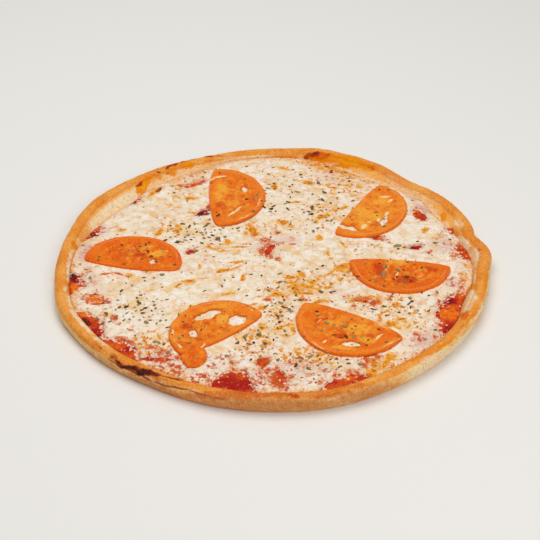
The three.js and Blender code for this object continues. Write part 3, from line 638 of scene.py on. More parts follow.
# Marks on the cheese: toasted and oily spots, red ones, brown ones, and where sauce bleeds through.
TOASTED = [
    (-107, 41.5, 3, 2, 0, 0.9), (-80, 38, 6, 2.2, 72, 1), (-73, 46, 1.2, 3, 0, 0.7),
    (-67, 45, 2.5, 2.5, 0, 0.9), (-67, 39.5, 3.5, 3, 0, 0.9), (-74, 73, 2.5, 3, 0, 0.5),
    (-68, 70, 2.2, 1.5, 0, 0.5), (-60, 82, 5, 2, 0, 1), (-57, 62.5, 5, 1.3, -8, 0.9),
    (-86, 91, 9, 1.8, 52, 0.9), (-31, 24.5, 2.5, 4, 0, 0.9), (-44, 19, 1.6, 4.5, 25, 0.8),
    (-40, 16, 3, 1.5, -30, 0.7), (-34, 13.5, 4.5, 1.3, 0, 0.7), (-23, 18.5, 5.5, 1.4, 2, 0.8),
    (-13, 38, 3, 7, 20, 1), (-18, 36, 2, 3, 0, 0.8), (-16, 45, 3, 1.5, -40, 0.8),
    (-26, 47.5, 3, 1.5, 15, 0.9), (28, 101, 4.5, 3, -30, 0.9), (11, 121.5, 6, 2, -25, 0.7),
    (2.5, 96, 2.5, 4.5, 15, 0.9), (46, 94, 4.5, 1.3, -20, 1), (66, 95, 3, 3, 0, 0.7),
    (60, 98, 2.4, 2.4, 0, 0.6), (54, 110, 3, 1.5, 0, 0.7), (30, 111, 2, 1, 0, 0.7),
    (45, 86, 2.2, 2.5, 0, 0.6), (61, 82.5, 2.8, 1.1, 10, 0.7), (17, 75, 5, 1.6, 15, 0.8),
    (53, 67, 4.5, 2, 40, 0.8), (44, 63, 2.8, 1.3, 20, 0.8), (38, 67, 1.5, 2, 0, 0.5),
    (42, 73, 2, 1.5, 0, 0.5), (37, 55, 7, 2.4, 30, 1), (33, 48, 1.6, 3, 0, 0.9),
    (34, 29, 2.5, 4, -10, 0.8), (8, 49, 4.5, 3, -20, 0.9), (13, 43, 2.5, 3, 0, 0.7),
    (50, 20, 5.5, 1.1, -65, 0.9), (39, 9, 1.4, 3.6, 5, 0.8), (41, 2.5, 2, 1.5, -30, 0.8),
    (84, 11, 2, 1, 0, 0.7), (109, 36, 1.8, 4, -30, 0.9), (60, 7, 2.2, 1, 0, 0.6),
    (40, 122, 3, 2.5, 0, 0.5), (56, 121, 9, 4, -15, 0.5), (-98, -14.5, 3.4, 2, 0, 0.8),
    (-57, -22, 4.5, 2.2, 0, 1), (-63, -26, 3.8, 1.3, 55, 0.9), (-48, -18.5, 8, 1, 12, 0.7),
    (-33, -10, 5.5, 2, 15, 1), (-25, -7, 3.5, 1.2, 30, 0.9), (-24, 0, 6, 1.6, 8, 0.8),
    (-50, -5, 1.4, 3.4, 0, 0.8), (-20, -19, 1.5, 4.2, 0, 0.9), (-30, -37, 5.5, 1.4, 15, 0.8),
    (-82, -32, 4.5, 2, 30, 0.4), (-88, -41, 3.4, 1.2, 20, 0.4), (-54, -51, 2.8, 2, 30, 0.8),
    (-13, -49, 3.4, 1.3, 0, 0.8), (-7, -53, 3, 2.2, 0, 0.8), (-7, -73, 2.8, 4.5, 0, 0.8),
    (12, -19, 4, 2.4, 10, 1), (20, -16, 3.4, 3, 0, 0.9), (27, -25, 3, 3.4, 0, 0.9),
    (12, -25, 3.2, 2, 0, 0.8), (16, -31, 3.4, 4, 0, 1), (23, -30, 5.5, 2, -30, 0.9),
    (31, -34, 6, 1.1, -45, 0.8), (38, -31, 3.4, 1.8, 20, 0.9), (20, -37, 8, 2, -5, 0.9),
    (3, -38, 5.5, 3, 0, 0.8), (40, -14, 8, 1.2, 52, 0.8), (48, -8, 5, 3.4, 40, 1),
    (52, -5, 3, 2.4, 0, 0.9), (46, -22, 2, 3, 0, 0.8), (31, -47, 5, 2.4, 30, 0.9),
    (36, -47, 2.4, 1.5, 0, 0.9), (62, -43, 9, 1.2, 4, 0.9), (71, -47, 1.4, 5, 10, 0.8),
    (53, -47, 2, 3.4, 0, 0.8), (85, -45, 4, 0.9, 20, 0.8), (82, -51, 3, 2.6, 0, 0.8),
    (103, -61, 2.8, 1.1, 30, 0.8), (91, -62, 2.4, 1.2, 0, 0.5), (84, -67, 3.4, 1.6, 10, 0.9),
    (77, -72, 4.5, 3, 30, 0.9), (81, -76, 3.4, 1.5, -40, 0.8), (94, -76, 2.6, 1.3, 20, 0.7),
    (4, -75, 1.6, 4, -60, 0.9), (9, -72, 4.5, 1.4, 20, 0.9), (13, -77, 1.6, 4, 10, 0.9),
    (8, -83, 4, 1.3, 0, 0.7), (16, -97, 2.2, 1.1, 0, 0.7), (22, -95, 2, 1.2, 20, 0.7),
    (5, -96, 1.6, 1.1, 0, 0.6), (74, -106, 4, 4, 0, 0.8), (63, -112, 3, 6, 0, 0.9),
    (70, -114, 1.8, 6, -30, 0.9), (61, -122, 3, 6, -10, 0.9), (38, -115, 2.2, 1.5, 0, 0.7),
    (33, -110, 2, 1.4, 0, 0.6), (-84, -93, 3, 1.2, 0, 0.7), (-49, -123, 1.2, 1, 0, 0.8),
    (-56, -121, 1.2, 1, 0, 0.7), (28, -105, 3, 1.4, 0, 0.6),
]
RUSTY = [
    (-114, -12, 4.5, 1.1, 10, 1), (-106, -12, 5.5, 1.1, -20, 0.9), (-121, -36, 6.5, 1, -3, 1),
    (-124.5, -41.5, 5.8, 1.1, -68, 1), (-117, -46, 7, 1.3, 3, 1), (-112, -43, 5.5, 1.2, -22, 1),
    (-119, -41, 4.5, 2, -10, 0.6), (-130, -12, 2, 2, 0, 0.7), (-123, -22, 3, 1.5, 0, 0.5),
    (-104, -62, 2.6, 3.6, 20, 0.9), (-101, -69, 1.6, 1.3, 0, 0.9), (-93, -75, 1.8, 1.4, 0, 0.8),
    (-74, -44, 1.6, 1, 0, 0.9), (-3, -44, 3, 2, 0, 0.9), (-114, 45, 4.5, 1.3, 30, 0.7),
    (-12, 33, 2.4, 2.4, 0, 0.8), (-5, 26, 5, 4, 0, 0.7), (-6, 13, 4, 5, 0, 0.8), (-1, 7, 2, 4, 0, 0.8),
    (5, 22, 5, 1.2, 10, 0.8), (4, 35, 3, 3, 60, 0.8), (15, 21, 3.4, 1.3, 10, 0.7),
    (14, 29, 2.4, 1.3, 0, 0.6), (7, 14, 3, 1.2, -10, 0.6), (4, 3, 2.4, 4, 30, 0.8),
    (-17, 22, 3.4, 1, 5, 0.7), (110, 9, 3.4, 1.8, 50, 0.9), (115, 26, 6, 0.8, 5, 0.6),
    (60, -45, 5.5, 2.4, 0, 0.9), (68, -49, 5, 3, 35, 0.9), (54, -52, 2.2, 1.8, 0, 0.9),
    (79, -42, 1.6, 1.2, 0, 1), (20, -44.5, 3.4, 2, 0, 0.9), (11, -17, 2, 1.5, 0, 0.6),
    (20, -15, 1.4, 2, 0, 0.6), (32, -46, 2, 2, 0, 0.6), (59, -107, 2, 5, 0, 1),
    (66, -106, 2, 2.2, 0, 0.8), (92, -83, 2, 2.2, 0, 0.9), (94, -88, 1.1, 3.4, 10, 0.9),
    (104, -86, 1.5, 2.4, 0, 0.9), (99, -80, 1.2, 1.2, 0, 0.8), (105, -76, 3, 1, 0, 0.6),
    (122, -30, 1, 3, 0, 0.8), (127, -32, 1.2, 3, -20, 0.8), (57, -114, 3, 4, -20, 0.6),
    (-88, -104, 6, 3, -20, 0.8), (-78, -94, 4, 2, 20, 0.8), (-70, -97, 5, 1.6, 0, 0.8),
    (-66, -101, 3, 2, 0, 0.8), (-74, -106, 8, 2.4, -8, 0.9), (-60, -104, 4, 3, 0, 0.7),
    (-8, -110, 4, 5, 0, 0.9), (-3, -106, 3, 2, 30, 0.8), (4, -124, 3, 6, 20, 0.9),
    (7, -133, 2, 5, 10, 0.8), (0, -131, 2, 4, 10, 0.7), (-9, -120, 4, 2, 0, 0.5),
    (-13, -100, 2.4, 1.4, 0, 0.7), (-36, -104, 1.5, 2, 0, 0.7), (126, 4, 3, 6, 0, 0.6),
    (-57, 14, 4, 3.4, 30, 0.6), (-53, 18, 2.4, 1.4, 30, 0.6), (-46, 70, 1.6, 5, -10, 1),
    (-66, 100, 7, 1.2, 3, 0.9), (76, 28, 4, 2.4, 10, 0.9), (29, -130, 2.4, 3.4, 0, 0.7),
    (47, -118, 3, 1.5, 20, 0.5), (3, -128, 4, 9, 14, 1.1), (-57, 101, 9, 3, 26, 1),
    (-54, 103.5, 7, 2.2, 34, 1), (-2, 18, 4, 8, -20, 0.7), (-96, -86, 8, 3, -30, 0.9),
]
BROWN_SPOTS = [
    (46, 116.5, 1.6, 2.8, 0, 1), (57, 116, 1.6, 1.6, 0, 0.9), (68, 110, 2, 2.4, 20, 0.8),
    (73, 108, 1.3, 2.2, 10, 0.8), (59, 13, 1.2, 2.2, 0, 0.8), (-64, 105, 1.2, 1.6, 0, 0.8),
    (-74, 99, 2, 1.2, 0, 0.8), (-49, 60.5, 5, 2.2, 10, 0.9), (-83, 94, 4.5, 1.8, 55, 0.8),
    (5, 34, 1.4, 3, -50, 0.7), (94, 15, 3.4, 1.3, -10, 0.8), (60, -45, 4, 1.3, 0, 0.6),
    (-57, 15.5, 2, 1, 0, 0.6), (49, -17, 1.4, 1.8, 0, 0.8), (109, 8, 2, 1.2, 50, 0.7),
    (-133, 23, 2, 1.6, 0, 0.8), (-43, -101, 3, 3, 0, 0.7), (3, 93, 1.4, 2, 0, 0.7),
    (-107, 41, 1.6, 1, 0, 0.5), (-73, 67, 2.2, 1, 0, 0.6),
]
BLEEDING = [
    (-2, -124, 20, 14, 0, 1), (-34, -108, 16, 10, 0, 0.7), (-64, -114, 16, 9, -20, 1),
    (-100, -62, 16, 20, 20, 0.25), (98, -86, 14, 10, 30, 0.5), (0, 18, 13, 14, 0, 0.6),
    (120, 20, 9, 10, 0, 0.5), (124, -28, 7, 9, 0, 0.9), (28, -124, 24, 9, 5, 0.7),
    (60, -108, 10, 10, 20, 0.8), (-126, 18, 7, 12, -10, 0.4), (42, -44, 12, 6, 0, 0.4),
    (-128, -14, 7, 16, 10, 0.6), (-82, -96, 18, 8, -25, 0.9), (106, 60, 8, 8, 0, 0.6),
    (-14, -94, 14, 8, 0, 0.5), (-48, -124, 14, 6, -10, 1), (-122, -38, 9, 10, 0, 0.5),
    (-94, -74, 10, 8, 0, 0.35), (96, -101, 20, 2.4, 40, 0.9), (75, -115, 12, 2, 30, 0.6),
    (108, 44, 3, 10, 60, 0.3), (16, -113, 16, 9, 0, 0.6),
]
# Gold where oil and crust colour the cheese, drifts of specks, and thin places.
GILDED = [
    (44, 124, 18, 9, -14, 1.2), (62, 116, 14, 8, -38, 1.2), (-20, 136, 24, 3, 3, 0.8),
    (74, 104, 7, 9, -45, 0.8), (30, 131, 9, 6, 0, 1), (14, 134, 8, 3, 0, 0.6), (-52, 124, 14, 6, 25, 1),
    (-30, 134, 12, 3, 12, 0.8), (-72, 107, 12, 5, 35, 0.8), (-87, 93, 6, 4, 50, 1),
    (0, 137, 18, 2, 0, 0.6), (130, -22, 3, 9, -5, 1), (133, -6, 2, 8, 0, 0.7), (130, 20, 3, 6, 10, 0.5),
    (121, 42, 3, 5, -20, 0.4), (68, -114, 9, 8, -30, 0.9), (60, -122, 6, 6, 0, 0.9),
    (86, -104, 8, 3, 35, 0.4), (-135, 20, 3, 8, -8, 0.5), (-132, -34, 3, 6, 16, 0.7),
    (-128, -46, 3, 5, 26, 0.5), (25, -138, 12, 2, 4, 0.7), (96, -100, 10, 2, 38, 0.6),
    (18, -27, 14, 11, 0, 0.6), (50, -12, 7, 9, 30, 0.6), (66, -46, 14, 7, 0, 0.7),
    (78, -72, 7, 5, 0, 0.7), (8, -78, 8, 8, 0, 0.6), (-26, -8, 13, 5, 15, 0.5),
    (-57, -23, 7, 4, 20, 0.6), (-13, 39, 6, 9, 0, 0.6), (-74, 42, 9, 6, 0, 0.5),
    (40, 56, 12, 6, 30, 0.5), (28, 101, 7, 5, 0, 0.5), (60, 96, 10, 5, 0, 0.5), (10, 46, 8, 5, 0, 0.5),
    (-60, 82, 7, 4, 0, 0.5), (-30, 20, 12, 6, 0, 0.4), (30, -42, 16, 5, 0, 0.5),
    (-10, -50, 6, 4, 0, 0.5),
]
SPECKLED = [
    (20, -28, 24, 14, 0, 0.9), (44, 62, 20, 22, 0, 0.6), (52, 100, 32, 18, -20, 0.65),
    (70, -114, 12, 12, 0, 0.9), (0, 42, 24, 10, 0, 0.65), (-70, 44, 16, 14, 0, 0.5),
    (-62, 88, 16, 14, 0, 0.5), (82, -55, 24, 14, 0, 0.65), (24, -104, 24, 14, 0, 0.9),
    (-24, -8, 26, 10, 0, 0.4), (-34, 18, 16, 8, 0, 0.5), (52, -14, 12, 14, 0, 0.9),
    (-12, -88, 14, 14, 0, 0.9), (10, 110, 26, 14, 0, 0.35), (-60, 118, 20, 8, 15, 0.9),
    (76, 18, 24, 10, 0, 0.5), (-80, -90, 18, 12, -10, 1), (4, -60, 10, 18, 0, 0.7),
    (60, 116, 24, 10, -25, 1), (8, 76, 18, 14, 0, 0.15), (-108, -14, 20, 6, 0, 0.4),
    (4, -36, 14, 8, 0, 1), (90, -70, 16, 10, 0, 0.7),
]
THINNED = [
    (-130, 14, 6, 16, -10, 0.9), (-124, -18, 8, 14, 0, 0.6), (-60, -114, 22, 6, -22, 0.6),
    (-2, -122, 26, 12, 0, 0.6), (98, -90, 20, 10, 35, 0.8), (120, 18, 11, 12, 0, 0.7),
    (111, 64, 10, 5, -50, 1), (130, -12, 7, 10, 0, 0.5), (-122, 42, 8, 8, -20, 0.7),
    (-4, 16, 14, 16, 0, 0.6), (122, -28, 7, 10, 0, 0.7), (50, 106, 26, 9, -20, 0.6),
    (42, -36, 10, 8, 0, 0.5), (-118, 8, 6, 20, 0, 0.3), (-116, -32, 10, 10, 0, 0.5),
    (66, -106, 8, 5, 0, 0.6), (-114, 62, 8, 14, -35, 0.4), (103, 78, 3, 8, 35, 0.9),
    (-58, 116, 14, 8, 10, 0.6), (12, 26, 12, 8, 0, 0.6), (20, -115, 22, 9, 0, 0.7),
]
CHEESE_PATCHES = {
    "toasted": (TOASTED, 0.7), "gilded": (GILDED, 0.8), "rusty": (RUSTY, 0.7),
    "brown": (BROWN_SPOTS, 0.6), "bleeding": (BLEEDING, 0.8), "speckled": (SPECKLED, 0.8),
    "thinned": (THINNED, 0.8),
}
CHEESE_AROUND = 640
CHEESE_ROWS = 108
UNDER_ROWS = 36
POCKET_TOP = 7.4
HOLE_BOTTOM = 5.9
UNDER_HOLES = 5.6
CHEESE_SWELLS = [(0.4, 24, 5), (0.2, 11, 7), (0.16, 4.6, 51), (0.09, 2.2, 52)]
CHEESE_WAVES = [(0.8, 2.6, 56, 57)]
HOLE_WAVES = [(1.5, 3.4, 53, 54)]
RAGGED_WAVES = [(0.9, 3.4, 58, 59), (0.6, 1.7, 72, 73)]
# Lumps where sauce bleeds through.
LUMPS_HIGH = 0.7
LUMPS_SWELL = (3.6, 74)
# How far the edge falls at the crust and in a bay, how much more on a wide slope, over how many
# millimetres on a steep slope and a wide one, and how much lower the lip is on a wide one.
EDGE_FALL = (0.35, 1.1)
WIDE_FALL = 2
EDGE_REACH = (1.1, 2.6)
LIP_DROP = 1.6
# The millimetres outside a pocket, an opening, the lump's pocket and a hole over which the top
# changes height, and those outside a hole over which the underside does.
POCKET_EDGE = (-1.3, 0.3)
OPENING_EDGE = (-0.6, 1.4)
LUMP_EDGE = (-1.6, 0.3)
HOLE_EDGE = (-1.1, 0.9)
UNDER_EDGE = (4.5, 7)
# How far outside a slice the cheese is changed for its pocket, and for its openings.
POCKET_REACH = 6
OPENING_REACH = 1
# The radius, as a share of the pizza's, of the circle that the inner rings follow.
CIRCLE_SHARE = 0.88
# How high and how far the cheese laps up round a slice, and how high it stands in its openings.
LAP_HIGH = 0.35
LAP_REACH = 2.2
OPENING_RISE = 0.35


def ragged_place(x, y):
    """A place moved by swells of 0.9 mm every 3.4 mm and 0.6 mm every 1.7, which makes edges ragged."""
    return wave(x, y, y, RAGGED_WAVES)


def spread_height(x, y):
    """The cheese's top without slices or holes: before its edge falls, and after.

    Swells every 24, 11, 4.6 and 2.2 mm, and lumps every 3.6 mm where sauce bleeds through.
    """
    angle = np.arctan2(y, x)
    lumps = LUMPS_HIGH * patch_sum(x, y, BLEEDING, 0.8) * swell(x, y, *LUMPS_SWELL)
    plain = CHEESE_TOP - 0.1 + swells(x, y, CHEESE_SWELLS) + lumps
    wide = slope_wide(angle) * (1 - bay_share(angle))
    fall = lerp(*EDGE_FALL, bay_share(angle)) + WIDE_FALL * wide
    inside = cheese_edge(angle) - np.hypot(x, y)
    return plain, plain - fall * fade(inside, lerp(*EDGE_REACH, wide))


def sink_slice(piece, x, y, plain, height):
    """The cheese sunk into a slice's pocket, lapped up round it and raised in its openings."""
    apart = outside_slice(piece, x, y)
    lapped = plain + LAP_HIGH * np.exp(-((apart / LAP_REACH) ** 2)) - 0.2
    pocket = lerp(POCKET_TOP, np.maximum(height, lapped), ease(apart, *POCKET_EDGE))
    height = np.where(apart < POCKET_REACH, pocket, height)
    for opening in piece["openings"]:
        shown = 1 - ease(outside(*ragged_place(x, y), opening), *OPENING_EDGE)
        raised = lerp(height, CHEESE_TOP + OPENING_RISE, shown)
        height = np.where(apart < OPENING_REACH, raised, height)
    return height


def cheese_height(x, y):
    """The cheese's top: the spread, sunk under the slices and the lump, and down in the holes."""
    plain, height = spread_height(x, y)
    for piece in SLICES.values():
        height = sink_slice(piece, x, y, plain, height)
    height = lerp(POCKET_TOP, height, ease(outside(x, y, LUMP), *LUMP_EDGE))
    hole = ease(outside_all(*wave(x, y, y, HOLE_WAVES), CHEESE_WINDOWS), *HOLE_EDGE)
    return lerp(HOLE_BOTTOM, height, hole)


def cheese_rows(angle, edge):
    """Radii and heights of the underside, the lip and the top.

    Radii follow the bays at the edge and turn round towards the middle. The underside dips under
    the holes so that sauce covers it.
    """
    def bent(share):
        """Radii: share times a radius that turns from the circle's into the edge's by share^2."""
        return share * lerp(CIRCLE_SHARE * PIZZA_RADIUS, edge - 0.5, share * share)

    top_radius = bent(np.linspace(1, 0.009, CHEESE_ROWS)[:, None])
    under_radius = bent(np.linspace(0.03, 1, UNDER_ROWS)[:, None])
    under_x, under_y = under_radius * np.cos(angle), under_radius * np.sin(angle)
    clear = ease(outside_all(under_x, under_y, CHEESE_WINDOWS), *UNDER_EDGE)
    lip = CHEESE_LOW - LIP_DROP * slope_wide(angle) * (1 - bay_share(angle))
    return stack_rows([
        (under_radius, lerp(UNDER_HOLES, CHEESE_LOW, clear)),
        (edge, lip + 0.15),
        (edge + 0.05, lip + 0.5),
        (top_radius, cheese_height(top_radius * np.cos(angle), top_radius * np.sin(angle))),
    ])


def cheese_marks(x, y, height, angle, inside):
    """The cheese's patches; gold near the crust, red near bays and holes, and thin near all edges.

    inside is how many millimetres a place lies within the edge.
    """
    marks = patch_marks(*wave(x, y, seen(y, height), CHEESE_WAVES), CHEESE_PATCHES)
    bays = bay_share(angle)
    near_hole = fade(outside_all(x, y, CHEESE_WINDOWS), 2.5)
    near_crust = (1 - bays) * fade(inside - 1, 4)
    near_bay = bays * fade(inside, 5)
    near_edge = fade(inside, 7)
    marks["gilded"] = np.maximum(marks["gilded"], 0.8 * near_crust)
    marks["bleeding"] = np.maximum(marks["bleeding"], np.maximum(0.7 * near_hole, near_bay))
    marks["thinned"] = np.maximum(marks["thinned"], np.maximum(0.6 * near_edge, 0.8 * near_hole))
    return marks


def cheese_piece():
    """A closed sheet of rings, with the bays, holes and pockets of the CAD model."""
    angle = ring_angles(CHEESE_AROUND)
    edge = cheese_edge(angle)
    radius, height = cheese_rows(angle, edge)
    x, y = radius * np.cos(angle), radius * np.sin(angle)
    return ring_piece("cheese", x, y, height, cheese_marks(x, y, height, angle, edge - radius))


# Marks on the tomato: lighter and deeper flesh, ripe places, thin cream lines and seeds, and painted
# highlights among the cream lines.
LIGHT_FLESH = [
    (-80, 11, 6, 3.5, 10, 0.9), (-88, 20, 6, 4, 0, 0.5), (-101, 18, 4, 6, 0, 0.3),
    (-36, 95, 5, 9, 10, 0.7), (-38, 84, 4, 7, 0, 0.6), (-29, 75, 6, 5, -20, 0.5),
    (-26, 90, 5, 8, 20, 0.4), (66, 60, 6, 8, 0, 0.7), (80, 74, 8, 3.5, 15, 0.8), (75, 55, 7, 6, 0, 0.7),
    (66, 45, 3, 5, 20, 0.8), (86, 64, 4, 6, -20, 0.4), (86, -3, 9, 4, -10, 0.7),
    (100, -22, 6, 4, 20, 0.3), (65, -14, 5, 6, 0, 0.2), (-33, -64, 4.2, 4.5, 0, 1),
    (-36, -50, 9, 3, 10, 0.5), (-60, -70, 4, 4, 0, 0.3), (-50, -66, 4, 2, 0, 0.4),
    (-20, -75, 6, 3, 30, 0.4), (56, -76, 10, 8, -15, 0.6), (40, -70, 6, 4, 0, 0.6),
    (60, -88, 6, 2.5, -20, 0.9), (45, -96, 8, 2, -10, 0.7), (68, -72, 4, 3, 0, 0.5),
    (-24, 114, 8, 3, -30, 0.2), (-70, -3, 10, 3, 5, 0.3),
]
DEEP_FLESH = [
    (-107, 16, 5, 9, 10, 0.6), (-92, 10, 4.5, 3, 0, 1), (-88, 15, 4, 2, 20, 0.6),
    (-37, 72, 4, 5, 20, 0.7), (-22, 108, 6, 5, -40, 0.5), (-14, 90, 4, 10, 0, 0.4),
    (-31, 62, 4, 3, 0, 0.5), (78, 46, 8, 2.5, 30, 0.7), (60, 50, 4, 3, 0, 0.3), (92, 66, 3, 8, 0, 0.3),
    (72, 35, 8, 1.6, 5, 0.5), (73, -11, 4.5, 9, 10, 1), (91, -23, 9, 5, 0, 1),
    (109, -12, 6, 4, -30, 0.9), (75, -20, 3, 3, 0, 0.8), (-56, -72, 5, 4, -20, 0.9),
    (-44, -68, 3, 2, 0, 0.6), (-47, -85, 5, 4, 0, 0.7), (-55, -92, 8, 4, -30, 0.7),
    (-50, -104, 7, 8, 0, 0.5), (-39.5, -61.5, 3, 2.5, 0, 1), (33, -66, 6, 1.6, 20, 1),
    (44, -84, 5, 3, 0, 1), (62, -84, 4, 3, 0, 0.7), (25, -60, 6, 5, 0, 0.3), (70, -80, 3, 4, 0, 0.6),
    (-18, 99, 2, 2, 0, 0.6), (-32, 84, 2, 2, 0, 0.5),
]
RIPE = [
    (-96, 12, 44, 30, 0, 1), (88, -18, 44, 28, 0, 0.9), (-28, 84, 30, 46, 0, 0.6),
    (50, -78, 44, 32, -20, 0.6), (-50, -104, 12, 12, 0, 0.7), (-36, -70, 34, 30, 30, 0.25),
]
CREAM_AND_HIGHLIGHT_LINES = [
    (-38, 111, 5, 1.4, 15, 1), (-44, 107, 3, 1.2, 50, 0.8), (-26, 64, 8.5, 1.1, 53, 1),
    (-19.5, 93, 1.4, 4, 15, 1), (-19, 56, 9, 0.7, 35, 0.7), (-9, 75, 0.7, 9, -10, 0.6),
    (84, 80, 4, 1.1, 10, 1), (87.5, 75, 1.1, 3, -30, 1), (82.5, 55, 1.3, 6, -20, 1),
    (66, 42, 1.7, 4, -25, 0.9), (77, 50, 1.3, 2.2, 0, 0.9), (70, 47, 1.5, 1.1, 20, 0.9),
    (81, 45, 1, 4, -30, 0.6), (85, -18, 0.7, 5, -15, 0.7), (79, -9, 0.9, 4, -20, 0.6),
    (101, -19, 3, 0.8, 30, 0.6), (68, -85, 5, 1, 50, 0.9), (71, -74, 7, 0.9, -40, 0.6),
    (33, -89, 1.7, 1.1, 40, 0.9), (30, -95, 12, 0.7, -45, 0.6), (75, -92, 12, 0.7, 35, 0.6),
    (30, -68, 3, 0.9, 50, 0.6), (-65, -77, 0.9, 2.2, 0, 0.9), (-60, -92, 0.9, 2.2, 30, 0.9),
    (-45, -92, 0.9, 2.4, -30, 0.9), (-44, -73, 1, 1, 0, 0.6), (-64, -86, 1.4, 1.4, 0, 0.5),
    (-14, -55, 1.2, 0.8, -40, 0.9), (-83, 3, 2.6, 1.3, -15, 1), (-73, 14, 1.3, 0.9, 30, 0.9),
    (-97, 18, 0.9, 2, 20, 0.5), (78, -12, 2.4, 1.2, 60, 0.4),
]
FLESH_PATCHES = {
    "light": (LIGHT_FLESH, 0.7), "deep": (DEEP_FLESH, 0.6), "ripe": (RIPE, 0.3),
    "cream": (CREAM_AND_HIGHLIGHT_LINES, 0.5),
}
SLICE_AROUND = 240
SLICE_ROWS = 62
# The tilts of the rings round a slice's side, in degrees: from, to and how many.
SIDE_TILTS = (-80, 75, 12)
# The share of a slice's size at which its rounded side ends and its top begins.
BRIM = 0.972
# The shares of its size at which the skin shows, at which the seedy part ends, and of the line.
SKIN_SHARES = (0.95, 0.99)
SEEDY_SHARES = (0.6, 0.78)
LINE_SHARE = 0.905
LINE_WIDE = 0.018
# The line fades in over this many millimetres in front of the cut.
LINE_OUT = (0, 8)
# The millimetres outside an opening over which the flesh rises, and how thick it is inside.
FLESH_EDGE = (-0.9, 0.5)
OPENING_THICK = 0.15
OUTLINE_SWELLS = [(0.012, 8, 68), (0.006, 3, 69)]
FLESH_SWELLS = [(0.14, 5, 61), (0.07, 2.1, 62)]
FLESH_WAVES = [(0.6, 2.4, 66, 67)]
LUMPY_SLICE = "tomato_front_left"
LUMP_AROUND = 120
LUMP_TILTS = [(-30, 40, 8), (46, 89, 22)]
LUMP_OUTLINE = [(0.13, 5, 70), (0.1, 2.2, 71)]
LUMP_SWELLS = [(0.6, 4, 63), (0.35, 1.8, 64)]


def well_reach(piece, round_to, out, across):
    """Distance from the middle of a seed chamber in the chamber's own half sizes."""
    along, side = turned(out, across, round_to)
    along = along - WELL_OUT * piece["half"]
    return np.hypot(along / (WELL_HALF[0] * piece["half"]), side / (WELL_HALF[1] * piece["half"]))


def slice_height(piece, out, across):
    """A slice's top: flesh that curls up towards the skin, with a sunken well for each chamber.

    The curl is the reach squared, a well is exp(-reach^2), and openings go down to the slice's base.
    """
    reach = np.hypot(out / piece["depth"], across / piece["half"])
    height = TOMATO_TOP - CURL + CURL * reach * reach
    for round_to in piece["wells"]:
        height = height - WELL_DEEP * np.exp(-(well_reach(piece, round_to, out, across) ** 2))
    x, y = plan_place(piece, out, across)
    height = height + swells(x, y, FLESH_SWELLS)
    if not piece["openings"]:
        return height
    flesh = ease(outside_all(*ragged_place(x, y), piece["openings"]), *FLESH_EDGE)
    return lerp(TOMATO_LOW + OPENING_THICK, height, flesh)


def slice_outline(piece, angle):
    """Half an ellipse in front of the cut and a flatter swell behind it: (out, across)."""
    across = piece["half"] * np.sin(angle)
    front = np.cos(angle)
    behind = -piece["past"] * np.abs(front) ** piece["corner"]
    return np.where(front >= 0, piece["depth"] * front, behind), across


def slice_rows(piece):
    """Places (out, across), heights and shares of a slice's rings, from under to over.

    The rings are the outline shrunk to a core in the flesh: two under, 12 round the side, the top.
    """
    angle = ring_angles(SLICE_AROUND)
    core = CORE_SHARE * piece["depth"]
    edge_out, edge_across = slice_outline(piece, angle)
    tilt = np.radians(np.linspace(*SIDE_TILTS))[:, None]
    top_share = np.linspace(BRIM, 0.02, SLICE_ROWS)[:, None]
    share = np.concatenate([[[0.4]], [[0.9]], BRIM + (1 - BRIM) * np.cos(tilt), top_share])
    wavy = 1 + swells(*plan_place(piece, edge_out, edge_across), OUTLINE_SWELLS)
    out, across = core + (edge_out - core) * share * wavy, edge_across * share * wavy
    height = slice_height(piece, out, across)
    lift = np.concatenate([[[0.0]], [[0.0]], 0.5 + 0.5 * np.sin(tilt), np.ones_like(top_share)])
    return out, across, lerp(TOMATO_LOW, height, lift), share + 0 * height


def flesh_marks(x, y, height):
    """Lighter and deeper flesh, and cream lines with painted highlights, at places as they are seen."""
    return patch_marks(*wave(x, y, seen(y, height), FLESH_WAVES), FLESH_PATCHES)


def slice_marks(piece, out, across, height, share):
    """The flesh's marks, and where the skin, the line inside it and the rims of openings show; the rims
    carry painted shade.
    """
    x, y = plan_place(piece, out, across)
    marks = flesh_marks(x, y, height)
    # The gap mark is painted shade on the flesh round each opening's rim.
    marks["gap"] = np.zeros_like(out)
    if piece["openings"]:
        marks["gap"] = fade(outside_all(*ragged_place(x, y), piece["openings"]), 0.7)
    marks["line"] = np.exp(-(((share - LINE_SHARE) / LINE_WIDE) ** 2)) * ease(out, *LINE_OUT)
    marks["skin"] = ease(share, *SKIN_SHARES)
    marks["seedy"] = 1 - ease(share, *SEEDY_SHARES)
    return marks


def lump_dome():
    """The torn lump: rings whose share is cos^0.6 of a tilt, over an ellipse, roughened by swells."""
    angle = ring_angles(LUMP_AROUND)
    tilt = np.radians(np.concatenate([np.linspace(*tilts) for tilts in LUMP_TILTS]))[:, None]
    share = np.cos(tilt) ** 0.6
    at_x, at_y, long, short, turn = LUMP
    away_x, away_y = turned(long * share * np.cos(angle), short * share * np.sin(angle), -turn)
    torn = 1 + swells(at_x + away_x, at_y + away_y, LUMP_OUTLINE)
    x, y = at_x + away_x * torn, at_y + away_y * torn
    lumpy = swells(x, y, LUMP_SWELLS) * (np.sin(tilt) > 0)
    return x, y, TOMATO_LOW + LUMP_THICK * ease(np.sin(tilt), -0.5, 0.75) + lumpy


def lump_marks(x, y, height):
    """The flesh's marks on the lump, with no skin, line or opening, and seedy all over."""
    plain = {mark: 0 * x for mark in ("skin", "gap", "line")}
    return {**plain, "seedy": 0.6 + 0 * x, **flesh_marks(x, y, height)}


